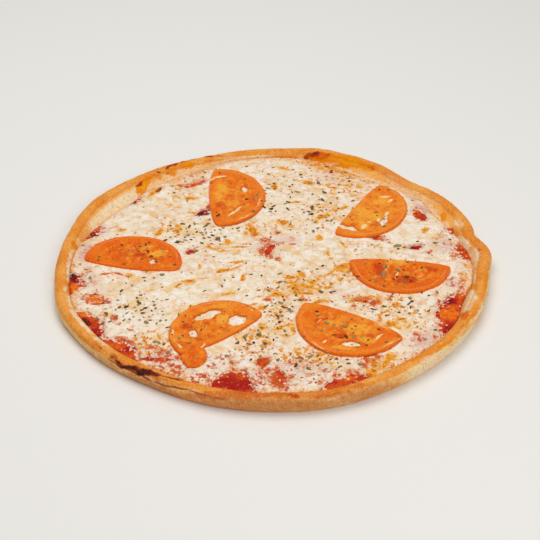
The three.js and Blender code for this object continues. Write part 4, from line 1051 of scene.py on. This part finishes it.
def slice_piece(name, piece):
    """One slice as a closed skin of rings from under to over; the front left one has its lump."""
    out, across, height, share = slice_rows(piece)
    marks = slice_marks(piece, out, across, height, share)
    x, y = plan_place(piece, out, across)
    if name != LUMPY_SLICE:
        return ring_piece(name, x, y, height, marks)
    lump_x, lump_y, lump_height = lump_dome()
    more_marks = with_ends(lump_marks(lump_x, lump_y, lump_height))
    points = closed_points(x, y, height)
    more_points = closed_points(lump_x, lump_y, lump_height)
    quads, triangles = ring_faces(*x.shape)
    more_quads, more_triangles = ring_faces(*lump_x.shape, start=len(points))
    return put_mesh(
        name, np.concatenate([points, more_points]), np.concatenate([quads, more_quads]),
        np.concatenate([triangles, more_triangles]),
        {mark: np.concatenate([v, more_marks[mark]]) for mark, v in with_ends(marks).items()},
    )


# Oregano drifts: x, y, half length, half width, share of the flakes that fall there.
DRIFTS = [
    (-92, -54, 20, 15, 1), (-50, 38, 22, 12, 1), (5, -48, 14, 16, 1), (28, -110, 20, 9, 0.8),
    (8, 88, 22, 26, 0.4), (-12, -86, 16, 14, 0.7), (86, -50, 26, 12, 0.5), (34, 66, 14, 20, 0.4),
    (-88, 12, 16, 12, 0.8), (82, -20, 18, 14, 0.8), (48, -82, 14, 12, 0.8), (-56, -82, 10, 16, 0.7),
]
# The first of the steps are kept thinly outside drifts too: the share, how many these are, how
# many steps there are in all, and how many of them may hold a large flake.
THIN_SOWING = 0.15
THINLY_SOWN = 2600
CANDIDATES = 4400
LARGE_ONES = 700
# The lengths of the large ones, of the other thinly sown ones, and of those in drifts alone.
LARGE_LONG = (2.6, 4.6)
SMALL_LONG = (1.2, 3.3)
DRIFTED_LONG = (1.8, 4.8)
# Steps along X and Y, as shares of a square's side, that spread many places evenly over it.
EVEN_STEPS = (0.7548776662, 0.5698402910)
# Flakes keep this far from the cheese's edge, and are on a slice this far inside its outline.
FLAKE_ROOM = 1.5
ON_SLICE = 0.4
LEAF_SIDES = 9
# How ragged, slim and thick flakes are, how far they curl, and how they tilt along and across.
LEAF_RAGGED = (0.62, 1.12)
LEAF_SLIM = (0.3, 0.72)
LEAF_THICK = (0.28, 0.6)
LEAF_CURL = (-0.4, 1)
LEAF_TILT_ALONG = (-0.22, 0.22)
LEAF_TILT_ACROSS = (-0.3, 0.3)
# How deep a flake sinks in, how much of its tilt lifts it, and how far its top is domed.
LEAF_SUNK = 0.06
LEAF_LIFT = 0.22
LEAF_DOME = 0.08
# A flake's three rings: the share of its size, and of its thickness.
LEAF_RINGS = [(0.78, 0), (1, 0.45), (0.7, 1)]
# The largest flakes: x and y as seen, length and turn.
BIG_FLAKES = [
    (-66, 26, 5, -30), (-75, 28, 5, 60), (-50, 37, 4, 10), (-47, 45, 4.5, 40), (-38, 28, 5, 15),
    (-33, 31, 4, 60), (-55, 48, 4, -70), (-45, 48, 3.5, 30), (-120, 8, 3, 80), (-80, 3, 4, -40),
    (-103, -60, 4, 60), (-110, -57, 5, -60), (-112, -68, 4.5, 50), (-75, -88, 6, -5), (-70, -90, 4, 60),
    (30, 66, 5.5, 80), (29, 58.5, 6, 5), (30, 36, 4.6, -70), (38, 77, 5.5, -60), (43.5, 50, 4.5, 60),
    (13.5, 46, 3.5, 60), (88, 16.5, 6, 20), (115, 20, 5, 5), (33, -36, 5, -65), (41, -36, 4.5, 5),
    (77, -8, 4.6, 70), (76, -15, 5, 50), (75.5, -19, 3.6, 80), (87, -25, 4.4, 0), (47, -85, 4.6, -60),
    (51.5, -86, 4.6, 70), (14, -113.5, 4.6, 70), (24, -104, 4, 40), (18, -106, 3, -40),
    (-9, -82, 5, 10), (-18, -86, 4.4, -70), (-29.5, -103, 4, -10), (-14.5, -15, 3, 0), (-5, -91, 4, 60),
    (-2, 94, 6, -30), (0, 66, 4, 60), (2, 70, 5, 40), (-4.5, 68, 5, -50), (35, -6, 4, 60),
    (5, -15, 4.4, 30), (5, -24, 4.4, 0), (8, -53, 5, -20), (12, -57, 4.4, -30), (3, -62, 4, -50),
    (-97, -50, 4, 40), (-102, -32, 4.4, 60), (-89, -46, 5, -40), (-86, -57, 4.4, 20),
    (-116, -63, 4, 50), (66, -56, 4.4, -40), (75, -63, 4.4, 10), (86, -54, 3.4, -20),
    (78, -44.5, 4, -60),
]


def flake_places():
    """Keys, places, lengths and turns of all flakes: the largest, then many on even steps.

    A step's place is kept with the chance that the drifts give it, and the first ones also thinly.
    A length is the shorter one + (the longer one - the shorter one) share^1.6 or share^1.4.
    """
    k = np.arange(1, CANDIDATES + 1)
    x, y = [(2 * np.modf(step * k)[0] - 1) * PIZZA_RADIUS for step in EVEN_STEPS]
    drift = np.zeros_like(x)
    for at_x, at_y, long, short, amount in DRIFTS:
        reach = ellipse_reach(x, y, (at_x, at_y, long, short, 0))
        drift = np.maximum(drift, amount * np.exp(-(reach**2)))
    room = cheese_radius(np.arctan2(y, x)) - np.hypot(x, y)
    kept = (scatter(k, 17.0) < THIN_SOWING * (k <= THINLY_SOWN) + drift) & (room > FLAKE_ROOM)
    share = scatter(k, 23.0)
    long = np.where(k < LARGE_ONES, lerp(*LARGE_LONG, share**1.6), lerp(*SMALL_LONG, share**1.4))
    long = np.where(k > THINLY_SOWN, lerp(*DRIFTED_LONG, share), long)
    big_x, big_y, big_long, big_turn = np.array(BIG_FLAKES, float).T
    big_y = big_y - LEAN * (top_height(big_x, big_y) - CHEESE_TOP)
    return (
        np.concatenate([CANDIDATES + 1.0 + np.arange(len(big_x)), k[kept]]),
        np.concatenate([big_x, x[kept]]), np.concatenate([big_y, y[kept]]),
        np.concatenate([big_long, long[kept]]),
        np.concatenate([np.radians(big_turn), TAU * scatter(k, 29.0)[kept]]),
    )


def top_height(x, y):
    """The highest of sauce, cheese and tomato at a place."""
    height = np.maximum(cheese_height(x, y), sauce_height(x, y))
    for piece in SLICES.values():
        on = outside_slice(piece, x, y) < -ON_SLICE
        flesh = slice_height(piece, *slice_place(piece, x, y))
        height = np.where(on, np.maximum(height, flesh), height)
    return height


def leaf_points(keys, x, y, long, turn):
    """The points of every flake: three ragged rings each, tilted and curled, and the two middles.

    A ring's radius is scattered from corner to corner, and its width is a share of its length.
    """
    key, at_x, at_y, half, turn = [v[:, None, None] for v in (keys, x, y, long / 2, turn)]
    around = ring_angles(LEAF_SIDES)[None]
    ring_share, ring_lift = [np.array(v)[None, :, None] for v in zip(*LEAF_RINGS)]
    ragged = lerp(*LEAF_RAGGED, scatter(key, np.round(around * 10), 37.0)) * ring_share
    slim = lerp(*LEAF_SLIM, scatter(key, 41.0)) + 0 * half
    along, side = half * ragged * np.cos(around), half * slim * ragged * np.sin(around)
    thick = lerp(*LEAF_THICK, scatter(key, 43.0))
    curl = 0.1 * lerp(*LEAF_CURL, scatter(key, 53.0)) * along * along
    tilt_along = lerp(*LEAF_TILT_ALONG, scatter(key, 59.0))
    tilt_across = lerp(*LEAF_TILT_ACROSS, scatter(key, 61.0))
    tilt = tilt_along * along + tilt_across * side
    rest = top_height(x, y)[:, None, None] - LEAF_SUNK + LEAF_LIFT * np.abs(tilt)
    place_x = at_x + along * np.cos(turn) - side * np.sin(turn)
    place_y = at_y + along * np.sin(turn) + side * np.cos(turn)
    rings = np.stack([place_x, place_y, rest + tilt + curl + thick * ring_lift], axis=-1)
    middles = rings[:, [0, -1]].mean(axis=2) + np.array([[0, 0, 0], [0, 0, LEAF_DOME]])
    return np.concatenate([rings.reshape(len(x), -1, 3), middles], axis=1)


def oregano_piece():
    """Dry leaf crumbs as one mesh, each a thin ragged pad, with a shade of its own."""
    keys, x, y, long, turn = flake_places()
    points = leaf_points(keys, x, y, long, turn)
    quads, triangles = ring_faces(len(LEAF_RINGS), LEAF_SIDES)
    step = (np.arange(len(x)) * points.shape[1])[:, None, None]
    shade = np.repeat(scatter(keys, 47.0), points.shape[1])
    return put_mesh(
        "oregano", points.reshape(-1, 3), (quads[None] + step).reshape(-1, 4),
        (triangles[None] + step).reshape(-1, 3), {"shade": shade},
    )


NOISE_DETAIL = 3
# Noise is mottled over this range of its values.
MOTTLED = (0.35, 0.65)
# How light spreads under a surface: the relative reach of red, green and blue.
SPREAD = (1, 0.5, 0.25)
COAT_ROUGHNESS = 0.15


def tint(red, green, blue):
    """The linear colour of an sRGB one given from 0 to 255."""
    values = np.array([red, green, blue]) / 255
    linear = np.where(values <= 0.04045, values / 12.92, ((values + 0.055) / 1.055) ** 2.4)
    return (*linear, 1)


class Finish:
    """A procedural material, made by short calls that each add a few nodes, and its colour so far."""

    def __init__(self, name):
        self.material = bpy.data.materials.new(name)
        self.material.use_nodes = True
        self.nodes = self.material.node_tree.nodes
        self.links = self.material.node_tree.links
        self.nodes.clear()
        self.place = self.nodes.new("ShaderNodeTexCoord").outputs["Object"]
        self.colour = None

    def put(self, socket, value):
        """A socket takes a link or a plain value."""
        if isinstance(value, bpy.types.NodeSocket):
            self.links.new(value, socket)
        else:
            socket.default_value = value

    def mark(self, name):
        """A value stored at the mesh's points."""
        node = self.nodes.new("ShaderNodeAttribute")
        node.attribute_name = name
        return node.outputs["Fac"]

    def moved(self, offset, stretch=(1, 1, 1), turn=0):
        """The place on the object, moved by an offset, stretched, and turned in the plan."""
        mapping = self.nodes.new("ShaderNodeMapping")
        mapping.inputs["Scale"].default_value = stretch
        mapping.inputs["Rotation"].default_value = (0, 0, math.radians(turn))
        mapping.inputs["Location"].default_value = (offset, offset * 0.7, 0)
        self.links.new(self.place, mapping.inputs["Vector"])
        return mapping.outputs["Vector"]

    def noise(self, size, stretch=(1, 1, 1), turn=0, offset=0):
        """Noise whose features are about size millimetres, stretched and turned in the plan."""
        node = self.nodes.new("ShaderNodeTexNoise")
        node.inputs["Scale"].default_value = METRE / size
        node.inputs["Detail"].default_value = NOISE_DETAIL
        self.links.new(self.moved(offset, stretch, turn), node.inputs["Vector"])
        return node.outputs["Fac"]

    def cells(self, size, offset=0):
        """Distance from the nearest of scattered points, about size millimetres apart: 0 to about 1."""
        node = self.nodes.new("ShaderNodeTexVoronoi")
        node.inputs["Scale"].default_value = METRE / size
        self.links.new(self.moved(offset), node.inputs["Vector"])
        return node.outputs["Distance"]

    def reckon(self, kind, a, b):
        """Arithmetic of the given kind on two values."""
        node = self.nodes.new("ShaderNodeMath")
        node.operation = kind
        self.put(node.inputs[0], a)
        self.put(node.inputs[1], b)
        return node.outputs[0]

    def plus(self, a, b):
        """a + b."""
        return self.reckon("ADD", a, b)

    def times(self, a, b):
        """a b."""
        return self.reckon("MULTIPLY", a, b)

    def swing(self, noise, amount):
        """Noise that swings round 0: (noise - 0.5) amount."""
        return self.times(self.reckon("SUBTRACT", noise, 0.5), amount)

    def ramp(self, value, low, high, to_low=0, to_high=1):
        """An eased step from to_low to to_high as value goes from low to high."""
        node = self.nodes.new("ShaderNodeMapRange")
        node.interpolation_type = "SMOOTHSTEP"
        node.inputs["From Min"].default_value = low
        node.inputs["From Max"].default_value = high
        node.inputs["To Min"].default_value = to_low
        node.inputs["To Max"].default_value = to_high
        self.put(node.inputs["Value"], value)
        return node.outputs["Result"]

    def patch(self, name, noise, ragged, low, high):
        """A mark with an edge made ragged by noise: the eased step of mark + (noise - 0.5) ragged."""
        return self.ramp(self.plus(self.mark(name), self.swing(noise, ragged)), low, high)

    def sown(self, name, amount, noise, low, high, to_high=1):
        """Specks that a mark makes denser: the eased step of amount mark + noise."""
        return self.ramp(self.plus(self.times(self.mark(name), amount), noise), low, high, 0, to_high)

    def blend(self, share, a, b):
        """Colour a turning into colour b."""
        node = self.nodes.new("ShaderNodeMix")
        node.data_type = "RGBA"
        self.put(node.inputs[0], share)
        self.put(node.inputs[6], a)
        self.put(node.inputs[7], b)
        return node.outputs[2]

    def mottle(self, noise, a, b):
        """Colour a turning into colour b where noise is high, each (red, green, blue)."""
        return self.blend(self.ramp(noise, *MOTTLED), tint(*a), tint(*b))

    def paint(self, share, red, green, blue):
        """A colour laid over the colour so far, where share says."""
        self.colour = self.blend(share, self.colour, tint(red, green, blue))

    def bump(self, height, distance, before=None):
        """Fine relief of that many millimetres."""
        node = self.nodes.new("ShaderNodeBump")
        node.inputs["Strength"].default_value = 1
        node.inputs["Distance"].default_value = distance * MM
        self.put(node.inputs["Height"], height)
        if before is not None:
            self.put(node.inputs["Normal"], before)
        return node.outputs["Normal"]

    def close(self, roughness, normal, soft=0, reach=1, shine=0.5, coat=0, glint=(1, 1, 1, 1)):
        """The surface itself, in the colour so far.

        soft is the share of light that spreads under it, reach is how many millimetres that goes, and
        glint is the colour of its shine.
        """
        shader = self.nodes.new("ShaderNodeBsdfPrincipled")
        self.put(shader.inputs["Base Color"], self.colour)
        self.put(shader.inputs["Roughness"], roughness)
        self.put(shader.inputs["Normal"], normal)
        shader.inputs["Specular IOR Level"].default_value = shine
        shader.inputs["Specular Tint"].default_value = glint
        shader.inputs["Coat Weight"].default_value = coat
        shader.inputs["Coat Roughness"].default_value = COAT_ROUGHNESS
        shader.inputs["Subsurface Weight"].default_value = soft
        shader.inputs["Subsurface Scale"].default_value = reach * MM
        shader.inputs["Subsurface Radius"].default_value = SPREAD
        output = self.nodes.new("ShaderNodeOutputMaterial")
        self.links.new(shader.outputs["BSDF"], output.inputs["Surface"])
        return self.material


def crust_finish():
    """Baked dough: golden rim, pale side, browned, oily, stained and scorched patches, fine grain,
    painted highlights on the lips, and painted shade in the folds and low on the side.
    """
    f = Finish("baked crust")
    broad, middle, grain = f.noise(16), f.noise(3.4, offset=3), f.noise(1.1, offset=5)
    side = f.mottle(broad, (252, 210, 146), (244, 184, 108))
    top = f.mottle(broad, (244, 168, 76), (236, 142, 48))
    f.colour = f.blend(f.mark("on_top"), side, top)
    # A darker, browner lower side: browned dough, and painted shade.
    f.paint(f.times(f.patch("baked", middle, 0.6, 0.1, 1.1), 0.85), 200, 120, 58)
    f.paint(f.times(f.mark("inner"), 0.6), 252, 192, 106)
    f.paint(f.times(f.patch("tanned", middle, 0.6, 0.2, 1.1), 0.85), 206, 92, 12)
    # Pale dough, and painted highlights along the lips and the outer edge.
    f.paint(f.patch("pale", middle, 0.5, 0.2, 0.9), 248, 224, 184)
    f.paint(f.patch("film", middle, 1.4, 0.35, 0.75), 248, 212, 164)
    f.paint(f.ramp(grain, 0.5, 0.72, 0, 0.26), 254, 214, 150)
    f.paint(f.ramp(grain, 0.5, 0.28, 0, 0.4), 190, 96, 28)
    oily = f.patch("oily", middle, 0.7, 0.25, 0.95)
    f.paint(oily, 236, 138, 8)
    f.paint(f.patch("oily", middle, 1.6, 1, 1.6), 250, 170, 2)
    # Stains, and painted shade in a fold at the right notch.
    f.paint(f.patch("stained", middle, 0.8, 0.25, 0.85), 220, 94, 8)
    # Browned dough, and painted shade in the folds at the right notch.
    f.paint(f.patch("browned", middle, 0.8, 0.3, 0.95), 156, 50, 6)
    # Dark red-brown along the creases: painted shade in the folds, with their own brown.
    f.paint(f.ramp(f.mark("crease"), 0.2, 0.9, 0, 0.85), 136, 48, 14)
    f.paint(f.patch("scorched", middle, 0.8, 0.02, 0.5), 158, 66, 22)
    scorched = f.patch("scorched", middle, 1.4, 0.35, 0.95)
    f.paint(scorched, 104, 42, 30)
    f.paint(f.times(scorched, f.ramp(grain, 0.4, 0.55, 0.3, 0.9)), 54, 18, 30)
    f.paint(f.ramp(grain, 0.46, 0.3, 0, 0.2), 170, 74, 16)
    normal = f.bump(grain, 0.4, f.bump(middle, 0.6))
    rough = f.ramp(oily, 0, 1, 0.7, 0.45)
    return f.close(rough, normal, soft=0.06, reach=1.5, shine=0.12, glint=(1, 0.8, 0.5, 1))


def sauce_finish():
    """Tomato sauce: orange red with crimson, dark and golden patches, crumbs of cheese, painted
    highlights, wet.
    """
    f = Finish("tomato sauce")
    broad, pulp, fine = f.noise(7), f.noise(2.6, offset=2), f.noise(1.2, offset=6)
    f.colour = f.mottle(broad, (220, 88, 10), (190, 46, 8))
    f.paint(f.patch("golden", pulp, 1.6, 0.2, 0.9), 240, 116, 4)
    f.paint(f.patch("crimson", pulp, 0.9, 0.25, 0.8), 172, 14, 14)
    f.paint(f.patch("dark", pulp, 0.7, 0.3, 0.9), 84, 4, 2)
    # Lighter on the pulp's tops: painted highlights.
    f.paint(f.ramp(pulp, 0.56, 0.7, 0, 0.6), 238, 112, 44)
    f.paint(f.ramp(pulp, 0.44, 0.32, 0, 0.6), 142, 20, 6)
    f.paint(f.sown("crumbs", 0.28, pulp, 0.67, 0.76), 240, 206, 184)
    # Fine pink specks: painted highlights on the wet sauce.
    f.paint(f.ramp(fine, 0.6, 0.72, 0, 0.3), 250, 150, 90)
    normal = f.bump(pulp, 0.9, f.bump(broad, 0.5))
    rough = f.ramp(pulp, 0.3, 0.7, 0.3, 0.5)
    return f.close(rough, normal, soft=0.02, shine=0.12, coat=0.03, glint=(1, 0.6, 0.4, 1))


def cheese_finish():
    """Melted cheese: cream, pinker where thin, with toasted, red and brown marks, specks and gaps.

    The gaps are where cells of 4.5 mm meet, as between shreds that have run together.
    """
    f = Finish("melted cheese")
    broad, middle, fine = f.noise(22), f.noise(6, offset=2), f.noise(1.7, offset=4)
    gaps = f.plus(f.cells(4.5), f.swing(fine, 0.9))
    f.colour = f.mottle(broad, (248, 234, 212), (242, 220, 190))
    f.paint(f.ramp(f.noise(11, offset=11), 0.48, 0.68, 0, 0.75), 242, 198, 128)
    f.paint(f.ramp(middle, 0.45, 0.66, 0, 0.8), 252, 244, 234)
    f.paint(f.ramp(gaps, 0.5, 0.9, 0, 0.5), 226, 172, 116)
    f.paint(f.patch("thinned", middle, 0.9, 0.25, 1.1), 222, 180, 166)
    mixed = f.plus(f.times(middle, 0.5), f.times(fine, 0.5))
    f.paint(f.times(f.patch("speckled", mixed, 2.6, 0.3, 1.1), 0.25), 238, 174, 98)
    f.paint(f.times(f.patch("gilded", mixed, 2.6, 0.3, 1), 0.75), 238, 166, 68)
    specks = f.noise(2.7, stretch=(1, 0.75, 1), turn=14, offset=9)
    f.paint(f.sown("speckled", 0.18, specks, 0.655, 0.735), 232, 148, 40)
    f.paint(f.sown("speckled", 0.15, f.noise(1.9, offset=15), 0.74, 0.8), 176, 92, 26)
    f.paint(f.sown("gilded", 0.2, specks, 0.68, 0.8), 226, 130, 26)
    f.paint(f.times(f.patch("toasted", fine, 0.7, 0, 0.5), 0.55), 244, 204, 130)
    broken = f.noise(1.3, stretch=(0.7, 1, 1), turn=25, offset=12)
    f.paint(f.patch("toasted", broken, 2, 0.22, 0.75), 238, 156, 14)
    f.paint(f.patch("toasted", f.noise(2.1, offset=13), 3, 0.75, 1.2), 206, 104, 14)
    f.paint(f.sown("bleeding", 0.55, gaps, 0.9, 1.35, 0.85), 230, 132, 82)
    f.paint(f.sown("bleeding", 0.5, gaps, 1.15, 1.4), 210, 90, 36)
    threads = f.noise(2.4, stretch=(0.9, 0.8, 1), turn=-12, offset=7)
    f.paint(f.sown("bleeding", 0.18, threads, 0.68, 0.78), 208, 84, 34)
    knots = f.cells(3, offset=3)
    white = f.times(f.ramp(knots, 0.45, 0.15, 0, 0.75), f.ramp(f.mark("bleeding"), 0.2, 0.9))
    f.paint(white, 250, 238, 224)
    f.paint(f.times(f.patch("rusty", fine, 0.9, 0.05, 0.6), 0.5), 232, 150, 96)
    f.paint(f.patch("rusty", fine, 1.6, 0.35, 0.85), 210, 86, 24)
    f.paint(f.patch("brown", fine, 0.8, 0.35, 0.9), 116, 44, 12)
    lumps = f.times(knots, f.ramp(f.mark("bleeding"), 0, 0.8, 0.35, 1))
    normal = f.bump(gaps, -0.35, f.bump(lumps, -1.3, f.bump(fine, 0.3, f.bump(middle, 0.9))))
    rough = f.ramp(middle, 0.3, 0.7, 0.4, 0.55)
    return f.close(rough, normal, soft=0.15, reach=1.2, shine=0.2, glint=(1, 0.95, 0.85, 1))


def tomato_finish():
    """Tomato: orange flesh, seedy in the middle, lighter and deeper places, cream lines and painted
    highlights, a skin painted lighter against the shade on the side, and painted shade round the
    openings.
    """
    f = Finish("tomato flesh")
    broad, middle, fine = f.noise(9), f.noise(3, offset=2), f.noise(1.2, offset=4)
    torn = f.noise(2.2, stretch=(1, 0.5, 1), turn=30, offset=8)
    pips = f.plus(f.cells(4.2, offset=6), f.swing(torn, 1.6))
    pale = f.mottle(broad, (250, 150, 44), (244, 124, 22))
    red = f.mottle(broad, (244, 118, 14), (236, 96, 4))
    f.colour = f.blend(f.mark("ripe"), pale, red)
    seedy = f.mark("seedy")
    f.paint(f.times(seedy, f.ramp(pips, 0.45, 0.15, 0, 0.55)), 252, 168, 58)
    f.paint(f.times(seedy, f.ramp(pips, 0.55, 0.85, 0, 0.55)), 212, 78, 4)
    f.paint(f.patch("light", middle, 1.2, 0.12, 0.8), 252, 172, 56)
    f.paint(f.patch("deep", middle, 1, 0.3, 1.1), 206, 62, 2)
    f.paint(f.times(f.mark("line"), f.ramp(broad, 0.4, 0.6, 0.1, 0.6)), 252, 172, 104)
    # The skin round the slice's side, painted lighter to offset the shade that falls there.
    f.paint(f.ramp(f.mark("skin"), 0.3, 1, 0, 0.8), 244, 116, 18)
    # Cream lines and seeds, and painted highlights on the flesh.
    f.paint(f.patch("cream", fine, 0.7, 0.3, 0.8), 254, 220, 158)
    # Painted shade round the openings' rims.
    f.paint(f.ramp(f.mark("gap"), 0.4, 1), 222, 112, 22)
    f.paint(f.ramp(fine, 0.52, 0.72, 0, 0.3), 254, 180, 84)
    f.paint(f.ramp(fine, 0.46, 0.3, 0, 0.3), 220, 84, 2)
    normal = f.bump(pips, -0.5, f.bump(fine, 0.3, f.bump(middle, 1.2)))
    rough = f.ramp(middle, 0.3, 0.7, 0.32, 0.5)
    return f.close(rough, normal, soft=0.05, reach=1.2, shine=0.12, coat=0.03, glint=(1, 0.7, 0.4, 1))


def oregano_finish():
    """Dry oregano: dark olive, brown and grey-green flakes."""
    f = Finish("dried oregano")
    shade, grain = f.mark("shade"), f.noise(0.8)
    f.colour = f.blend(f.ramp(shade, 0.1, 0.4), tint(84, 46, 14), tint(132, 106, 44))
    f.paint(f.ramp(shade, 0.5, 0.85), 164, 152, 108)
    f.paint(f.ramp(grain, 0.45, 0.65, 0, 0.6), 96, 54, 18)
    f.paint(f.ramp(grain, 0.42, 0.3, 0, 0.6), 190, 172, 124)
    return f.close(0.8, f.bump(grain, 0.2), shine=0.2)


# The camera: degrees above the horizon and of roll, metres away, the place in mm that it looks at,
# and its film and lens in mm.
CAMERA_RISE = 35.7
CAMERA_ROLL = -0.75
CAMERA_AWAY = 1.022
CAMERA_AIM = (-1.43, 2.19, 0)
CAMERA_FILM = 36
CAMERA_LENS = 97.8
SURROUND = (1, 0.99, 0.97, 1)
SURROUND_STRENGTH = 0.36
FLOOR_CORNERS = [(-4, -4, 0), (4, -4, 0), (4, 4, 0), (-4, 4, 0)]


def stand(thing, right, up, back, place):
    """Stands an object at a place in metres, with its own axes along three directions."""
    rows = np.stack([right, up, back, place], axis=1).tolist()
    thing.matrix_world = Matrix([*rows, (0, 0, 0, 1)])
    bpy.context.scene.collection.objects.link(thing)


def place_camera():
    """A long lens about a metre away, as high above the horizon as in the photograph."""
    rise, roll = math.radians(CAMERA_RISE), math.radians(CAMERA_ROLL)
    ahead = np.array([0, math.cos(rise), -math.sin(rise)])
    right = np.array([1, 0, 0])
    up = np.cross(right, ahead)
    turned_right = math.cos(roll) * right + math.sin(roll) * up
    turned_up = math.cos(roll) * up - math.sin(roll) * right
    data = bpy.data.cameras.new("camera")
    data.sensor_width = CAMERA_FILM
    data.lens = CAMERA_LENS
    data.clip_end = 20
    camera = bpy.data.objects.new("camera", data)
    eye = (np.array(CAMERA_AIM) - MIDDLE) * MM - ahead * CAMERA_AWAY
    stand(camera, turned_right, turned_up, -ahead, eye)
    bpy.context.scene.camera = camera


def area_light(name, place, size, watts, colour=(1, 1, 1)):
    """A square soft light aimed at the pizza."""
    data = bpy.data.lights.new(name, "AREA")
    data.size = size
    data.energy = watts
    data.color = colour
    light = bpy.data.objects.new(name, data)
    away = np.array(place) / np.linalg.norm(place)
    side = np.cross([0, 1, 0.001], away)
    side = side / np.linalg.norm(side)
    stand(light, side, np.cross(away, side), away, place)
    return light


def place_stage():
    """A wide pale floor, a soft white surround and two large soft lights."""
    scene = bpy.context.scene
    scene.view_settings.view_transform = "Standard"
    world = bpy.data.worlds.new("surround")
    world.use_nodes = True
    world.node_tree.nodes["Background"].inputs["Color"].default_value = SURROUND
    world.node_tree.nodes["Background"].inputs["Strength"].default_value = SURROUND_STRENGTH
    scene.world = world
    mesh = bpy.data.meshes.new("floor")
    mesh.from_pydata(FLOOR_CORNERS, [], [(0, 1, 2, 3)])
    floor = bpy.data.objects.new("floor", mesh)
    scene.collection.objects.link(floor)
    f = Finish("pale floor")
    f.colour = tint(240, 238, 234)
    floor.data.materials.append(f.close(0.8, f.bump(f.noise(2), 0.02)))
    area_light("overhead", (-0.15, 0.25, 1.1), 0.9, 6.6)
    area_light("front", (0.5, -0.9, 0.9), 0.7, 5.6, (1, 0.98, 0.95))


place_camera()
place_stage()

FINISHES = {
    "crust": crust_finish(), "sauce": sauce_finish(), "cheese": cheese_finish(),
    "tomato": tomato_finish(), "oregano": oregano_finish(),
}


def finish_piece(piece, finish, slot, *replaced):
    """Gives a piece its material, attaches it to the root body and hides the CAD nodes that it stands
    for; slot is not used.
    """
    piece.data.materials.append(FINISHES[finish])
    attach(piece, "root")
    if replaced:
        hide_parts(*replaced)


finish_piece(crust_piece(), "crust", "crust", "crust")
finish_piece(sauce_piece(), "sauce", "sauce", "sauce")
finish_piece(cheese_piece(), "cheese", "cheese", "cheese")
for slice_name, slice_form in SLICES.items():
    finish_piece(slice_piece(slice_name, slice_form), "tomato", "tomato", slice_name)
finish_piece(oregano_piece(), "oregano", "cheese")
